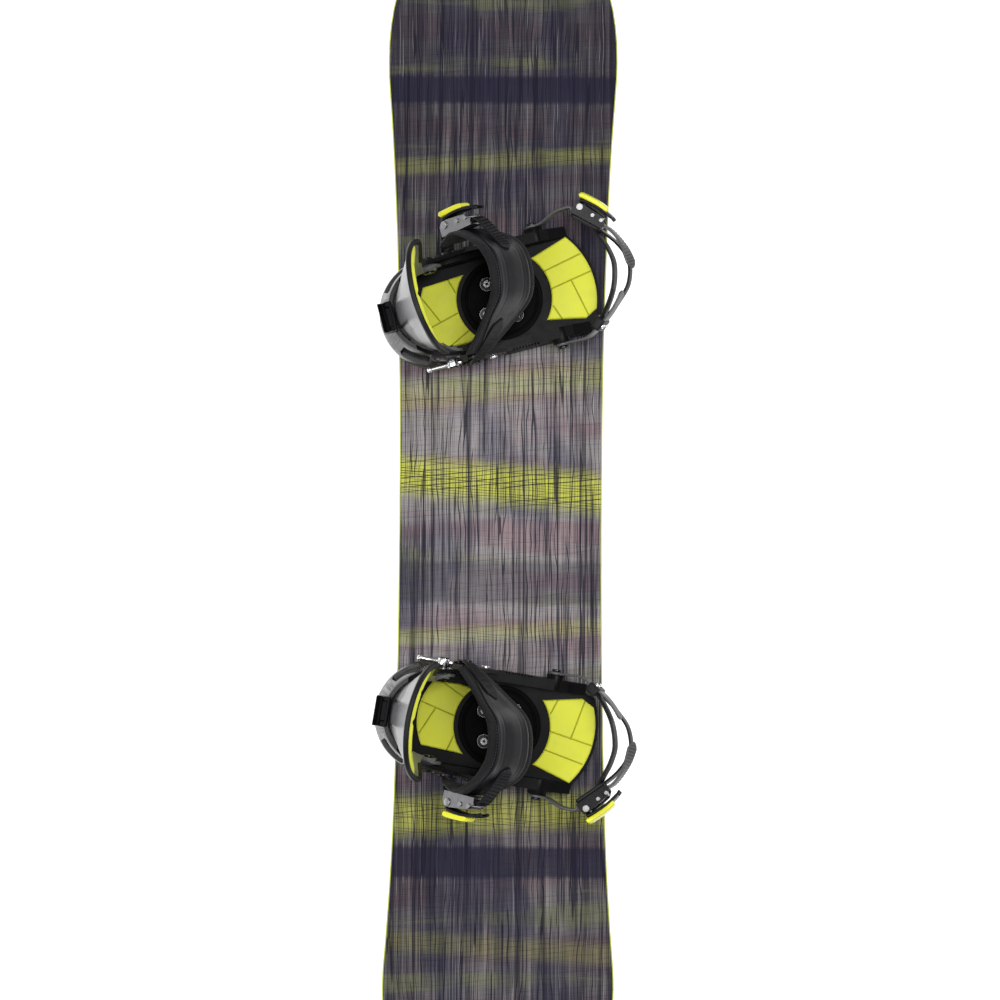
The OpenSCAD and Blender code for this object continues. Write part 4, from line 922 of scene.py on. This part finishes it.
def extender():  # smooth strap from the pad's inner end down to its bolt, with a row of dimples
    last = len(anklePoints) - 1
    first, count, thick = last - 5, 141, 2.5
    path, u = strapRun(first, last, count)
    at = np.linspace(first, last, count)
    drop = ease(at, padSpan[1], last - 1.25)
    rise = (padFull(np.minimum(1, u)) + 0.7) * (1 - drop) - thick / 2 * drop
    half = ladder["half"] - 3 * (1 - ease(at, first, first + 0.5))
    half = half * rounded(at - first, 0.35, 0.03)
    rx, ry = roundBox(28, 0.4)
    dimple = 0.9 * (0.5 + 0.5 * np.cos(at * 2 * np.pi * 3)) ** 6
    pressed = np.clip(ry, 0, 1) * bump(rx, 0, 0.25) * dimple[:, None]
    up = rise[:, None] + (ry * 0.5 + 0.5) * thick - pressed
    return ringSkin(sweep(path, ankle["tilt"], rx * half[:, None], up) * mm)


lever = {"axle": (-18, 13.8), "hub": 6.2, "wide": 9.8, "barThick": 5.4, "gripThick": 8.4, "gripIn": 0.4,
         "bar": [(-23, 20), (-20, 23), (-6, 25), (12, 25), (26, 22.6), (33, 21)],
         "grip": {"ankle": [(-27, 29.2), (-22, 30), (-8, 30.2), (6, 29.8), (15, 28)],
                  "toe": [(-28, 28.4), (-22, 29.8), (-8, 30.4), (8, 29.8), (22, 27)]},
         "prongs": [(27, 22.4), (33, 21), (38.5, 18.5)], "prongThick": 4.2, "prongHalf": 2.4, "prongAt": 6.6}


def carried(points, thick, half, count):  # ring along a side profile, dished on top, rounded at both ends
    line = evenPath(smoothPath([(x, 0, z) for x, z in points], 20), count)
    s = np.linspace(0, 1, count)
    rx, ry = roundBox(36, 0.5)
    t = unit(np.gradient(line, axis=0))
    out = np.stack([-t[:, 2], 0 * s, t[:, 0]], -1)
    end = np.sqrt(1 - (1 - np.clip(np.minimum(s, 1 - s) / 0.07, 0.02, 1)) ** 2)[:, None]
    across = rx * half * (0.9 + 0.1 * end)
    middle = bump(rx, 0, 0.55) * np.clip(ry, 0, 1)
    up = ry * thick / 2 * end - 0.9 * middle * within(s, (0.1, 0.9), 0.2)[:, None]
    sideways = across[..., None] * np.array([0, 1, 0])
    points, faces = ringSkin(line[:, None] + sideways + up[..., None] * out[:, None])
    return points, outward(points, faces)


def leverBase():  # bar with a round hub on its axle and two short prongs at its tip
    bar = carried(lever["bar"], lever["barThick"], lever["wide"], 61)
    hub, faces = boss(lever["axle"], -lever["wide"], lever["wide"], lever["hub"], ladder["hole"], 40)
    points, prongFaces = carried(lever["prongs"], lever["prongThick"], lever["prongHalf"], 21)
    prongs = [(points + np.array([0, y, 0]), prongFaces) for y in (-lever["prongAt"], lever["prongAt"])]
    return joined([bar, (hub, outward(hub.reshape(-1, 3), faces)), *prongs])


def leverGrip(name):
    return carried(lever["grip"][name], lever["gripThick"], lever["wide"] - lever["gripIn"], 61)


def inBuckle(name, points):  # from a buckle's own axes to the binding's
    return (buckles[name]["at"] + buckles[name]["size"] * points @ buckles[name]["axes"]) * mm


# toe strap: a plate under the buckle, two bands round the toe, a tail from the inner bolt
plateIn = toe["seat"] - toeN * ((toe["band"] + 1) / 2 + buckle["gap"])
toeUpper = [toe["root"] - 2 * rootT, (129, -50, 68), (142, -28, 77), (149, -2, 80), (147, 19, 78),
            (142, 36, 72), plateIn + 8 * toeT, plateIn - 6 * toeT]
toeLower = [toe["root"] + np.array([-4, -1, -5]), (132, -57, 47), (148, -44, 46), (163, -28, 44),
            (171, -8, 43), (171, 8, 43), (166, 22, 46), (156.5, 36, 52), plateIn + 19 * toeT,
            plateIn + 8 * toeT]
tailY = -toeY - ladder["thick"] / 2
toeTail = [(toeX, tailY, toeZ), (71, tailY, 30), (80, tailY - 1, 35), (96, -81, 42), (112, -73, 52),
           (130, -61, 63), (144, -47, 69), (151, -37, 72)]


def softBand(points, half, thick, ridges=0.0):  # rounded band along a curve, edges slightly raised
    path = evenPath(smoothPath(points, 16), 141)
    rx, ry = roundBox(28, 0.5)
    outer = np.clip(ry, 0, 1)
    run = lengths(path)
    end = rounded(np.minimum(run, run[-1] - run), 5, 0.15)[:, None]
    lip = 0.35 * bump(np.abs(rx), 0.85, 0.12) * outer
    rib = ridges * (0.5 + 0.5 * np.cos(run * 2 * np.pi / 4.5))[:, None] * outer
    up = ry * thick / 2 + lip + rib
    return ringSkin(sweep(path, toe["tilt"], rx * half * end, up) * mm)


def roundBlock(origin, axes, sizes):  # rounded block: a ring swelling and closing along the first axis
    s = np.linspace(-1, 1, 41)[:, None]
    grow = (1 - np.abs(s) ** 8) ** 0.25
    rx, ry = roundBox(36, 0.35)
    local = np.stack([s + 0 * rx, rx * grow, ry * grow], -1)
    return ringSkin((origin + (local * np.array(sizes) / 2) @ axes) * mm)


rootSize = (18, 24, 15)
screwHead = {"at": 6, "radius": [0.1, 1.4, 1.5, 1.9, 2.8, 3.3, 3.4, 3.4],
             "height": [0.4, 0.4, 1.5, 1.8, 1.5, 0.8, 0.2, -1.0]}


def rootScrews():  # two domed heads with a socket, turned from one profile, on the root's outer face
    a = circle(32)[:, None]
    r, h = (np.array(screwHead[key])[:, None, None] for key in ("radius", "height"))
    ring = r * (np.cos(a) * rootT + np.sin(a) * rootW) - h * rootN
    face = toe["root"] - rootSize[2] / 2 * rootN
    heads = [ringSkin((face + k * rootW + ring) * mm) for k in (-screwHead["at"], screwHead["at"])]
    return joined([(points, outward(points, faces)) for points, faces in heads])


for side in sides:
    skin, uv = anklePad()
    pad = bindingPiece(side, "ankle_pad", *skin, finish["weave"], "ankle_strap", uv=uv)
    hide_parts(f"{side}_ankle_strap")
    panel = bindingPiece(side, "ankle_panel", *anklePanel(), finish["panel"], "ankle_strap")
    thread = bindingPiece(side, "ankle_stitching", *ankleStitches(), finish["thread"], "ankle_strap",
                          sharp=180)
    points, faces, uv = withEye(*ladderStrap(**ankleLadder), eye(ankle["bolt"], ankle["face"]))
    strap = bindingPiece(side, "ankle_ladder_strap", points, faces, finish["plastic"], "ankle_strap",
                         sharp=30, uv=uv)
    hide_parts(f"{side}_ankle_ladder")
    strap = joined([extender(), eye(ankle["bolt"], -ankle["face"])])
    strap = bindingPiece(side, "ankle_extender_strap", *strap, finish["plastic"], "ankle_strap")
    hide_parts(f"{side}_ankle_extender")
    for name in buckles:
        points, faces = leverBase()
        bar = bindingPiece(side, f"{name}_lever_bar", inBuckle(name, points), faces, finish["leverBase"],
                           f"{name}_lever")
        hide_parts(f"{side}_{name}_lever")
        points, faces = leverGrip(name)
        grip = bindingPiece(side, f"{name}_lever_grip", inBuckle(name, points), faces, finish["lever"],
                            f"{name}_lever")
    bands = joined([softBand(toeUpper, toe["half"], toe["thick"]),
                    softBand(toeLower, toe["half"] - 1, toe["thick"] - 0.5),
                    roundBlock(plateIn, toeAxes, (*toe["plate"], toe["band"] + 1)),
                    roundBlock(toe["root"], rootAxes, rootSize)])
    bands = bindingPiece(side, "toe_bands", *bands, finish["rubber"], "toe_strap")
    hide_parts(f"{side}_toe_strap")
    tail = joined([softBand(toeTail, toe["half"] + 1, toe["tail"], toe["ridge"]), eye(toe["bolt"], -toeY)])
    tail = bindingPiece(side, "toe_tail", *tail, finish["greyPlastic"], "toe_strap")
    screws = bindingPiece(side, "toe_root_screws", *rootScrews(), finish["chrome"], "toe_strap")
    points, faces, uv = withEye(*ladderStrap(**toeLadder), eye(toe["bolt"], toeY))
    strap = bindingPiece(side, "toe_ladder_strap", points, faces, finish["greyPlastic"], "toe_strap",
                         sharp=30, uv=uv)
    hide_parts(f"{side}_toe_ladder")
print("straps and levers made")

# studio
studio = {
    "height": 2.8, "foot": -0.12, "aim": 0.0238, "span": 1.3167, "roll": 0.335, "sensor": 36,
    "lamps": {"key": ((0.9, 1.6), 47, (0.6, 0.4, 2.95)), "fill": ((1.2, 2.4), 34, (-1.5, -0.3, 2.5))},
    "ambient": 0.46, "paper": (0.9, 0.9, 0.9, 1), "glow": 0.58, "floor": 6.0, "drop": 0.0006,
}
camera = bpy.data.objects.new("camera", bpy.data.cameras.new("camera"))
bpy.context.scene.collection.objects.link(camera)
ahead = studio["aim"] - studio["foot"]
camera.location = (0, studio["foot"], studio["height"] + seat["deck"])
camera.rotation_euler = (math.atan2(ahead, studio["height"]), 0, math.radians(studio["roll"]))
camera.data.sensor_width = studio["sensor"]
camera.data.lens = studio["sensor"] * math.hypot(studio["height"], ahead) / studio["span"]
bpy.context.scene.camera = camera


def addLamp(name, size, power, place):  # aimed at the middle of the board
    lamp = bpy.data.lights.new(name, "AREA")
    lamp.shape = "RECTANGLE"
    lamp.size, lamp.size_y, lamp.energy = size[0], size[1], power
    obj = bpy.data.objects.new(name, lamp)
    bpy.context.scene.collection.objects.link(obj)
    obj.location = place
    x, y, z = place
    obj.rotation_euler = (math.acos(z / math.hypot(x, y, z)), 0, math.atan2(x, -y))


for name, settings in studio["lamps"].items():
    addLamp(name, *settings)


def eitherRay(tree, *kinds):  # 1 on either of two kinds of ray, 0 on others
    rays = tree.nodes.new("ShaderNodeLightPath")
    return calc("MAXIMUM", *(nodeValue(rays.outputs[kind]) for kind in kinds))


world = bpy.data.worlds.new("studio")
world.use_nodes = True
bpy.context.scene.world = world
seen = eitherRay(world.node_tree, "Is Camera Ray", "Is Transmission Ray")
level = add(world.node_tree, "MapRange", {"Value": seen, "To Min": studio["ambient"], "To Max": 1.0})
feed(world.node_tree.nodes["Background"], Color=(1, 1, 1, 1), Strength=level)

edgeLine = np.linspace(-studio["floor"], studio["floor"], 9)
fx, fy = np.meshgrid(edgeLine, edgeLine, indexing="ij")
floorPoints = np.stack([fx, fy, 0 * fx - studio["drop"]], -1).reshape(-1, 3)
floorMesh = bpy.data.meshes.new("floor")
floorMesh.from_pydata(floorPoints.tolist(), [], quads(*fx.shape).tolist())
floor = bpy.data.objects.new("floor", floorMesh)
bpy.context.scene.collection.objects.link(floor)
paper, tree, shader = newMaterial("white paper", Roughness=0.9, Base_Color=studio["paper"],
                                  Emission_Color=(1, 1, 1, 1))
feed(shader, Emission_Strength=eitherRay(tree, "Is Camera Ray", "Is Glossy Ray") * studio["glow"])
floorMesh.materials.append(paper)
bpy.context.scene.view_settings.view_transform = "Standard"
print("studio set")
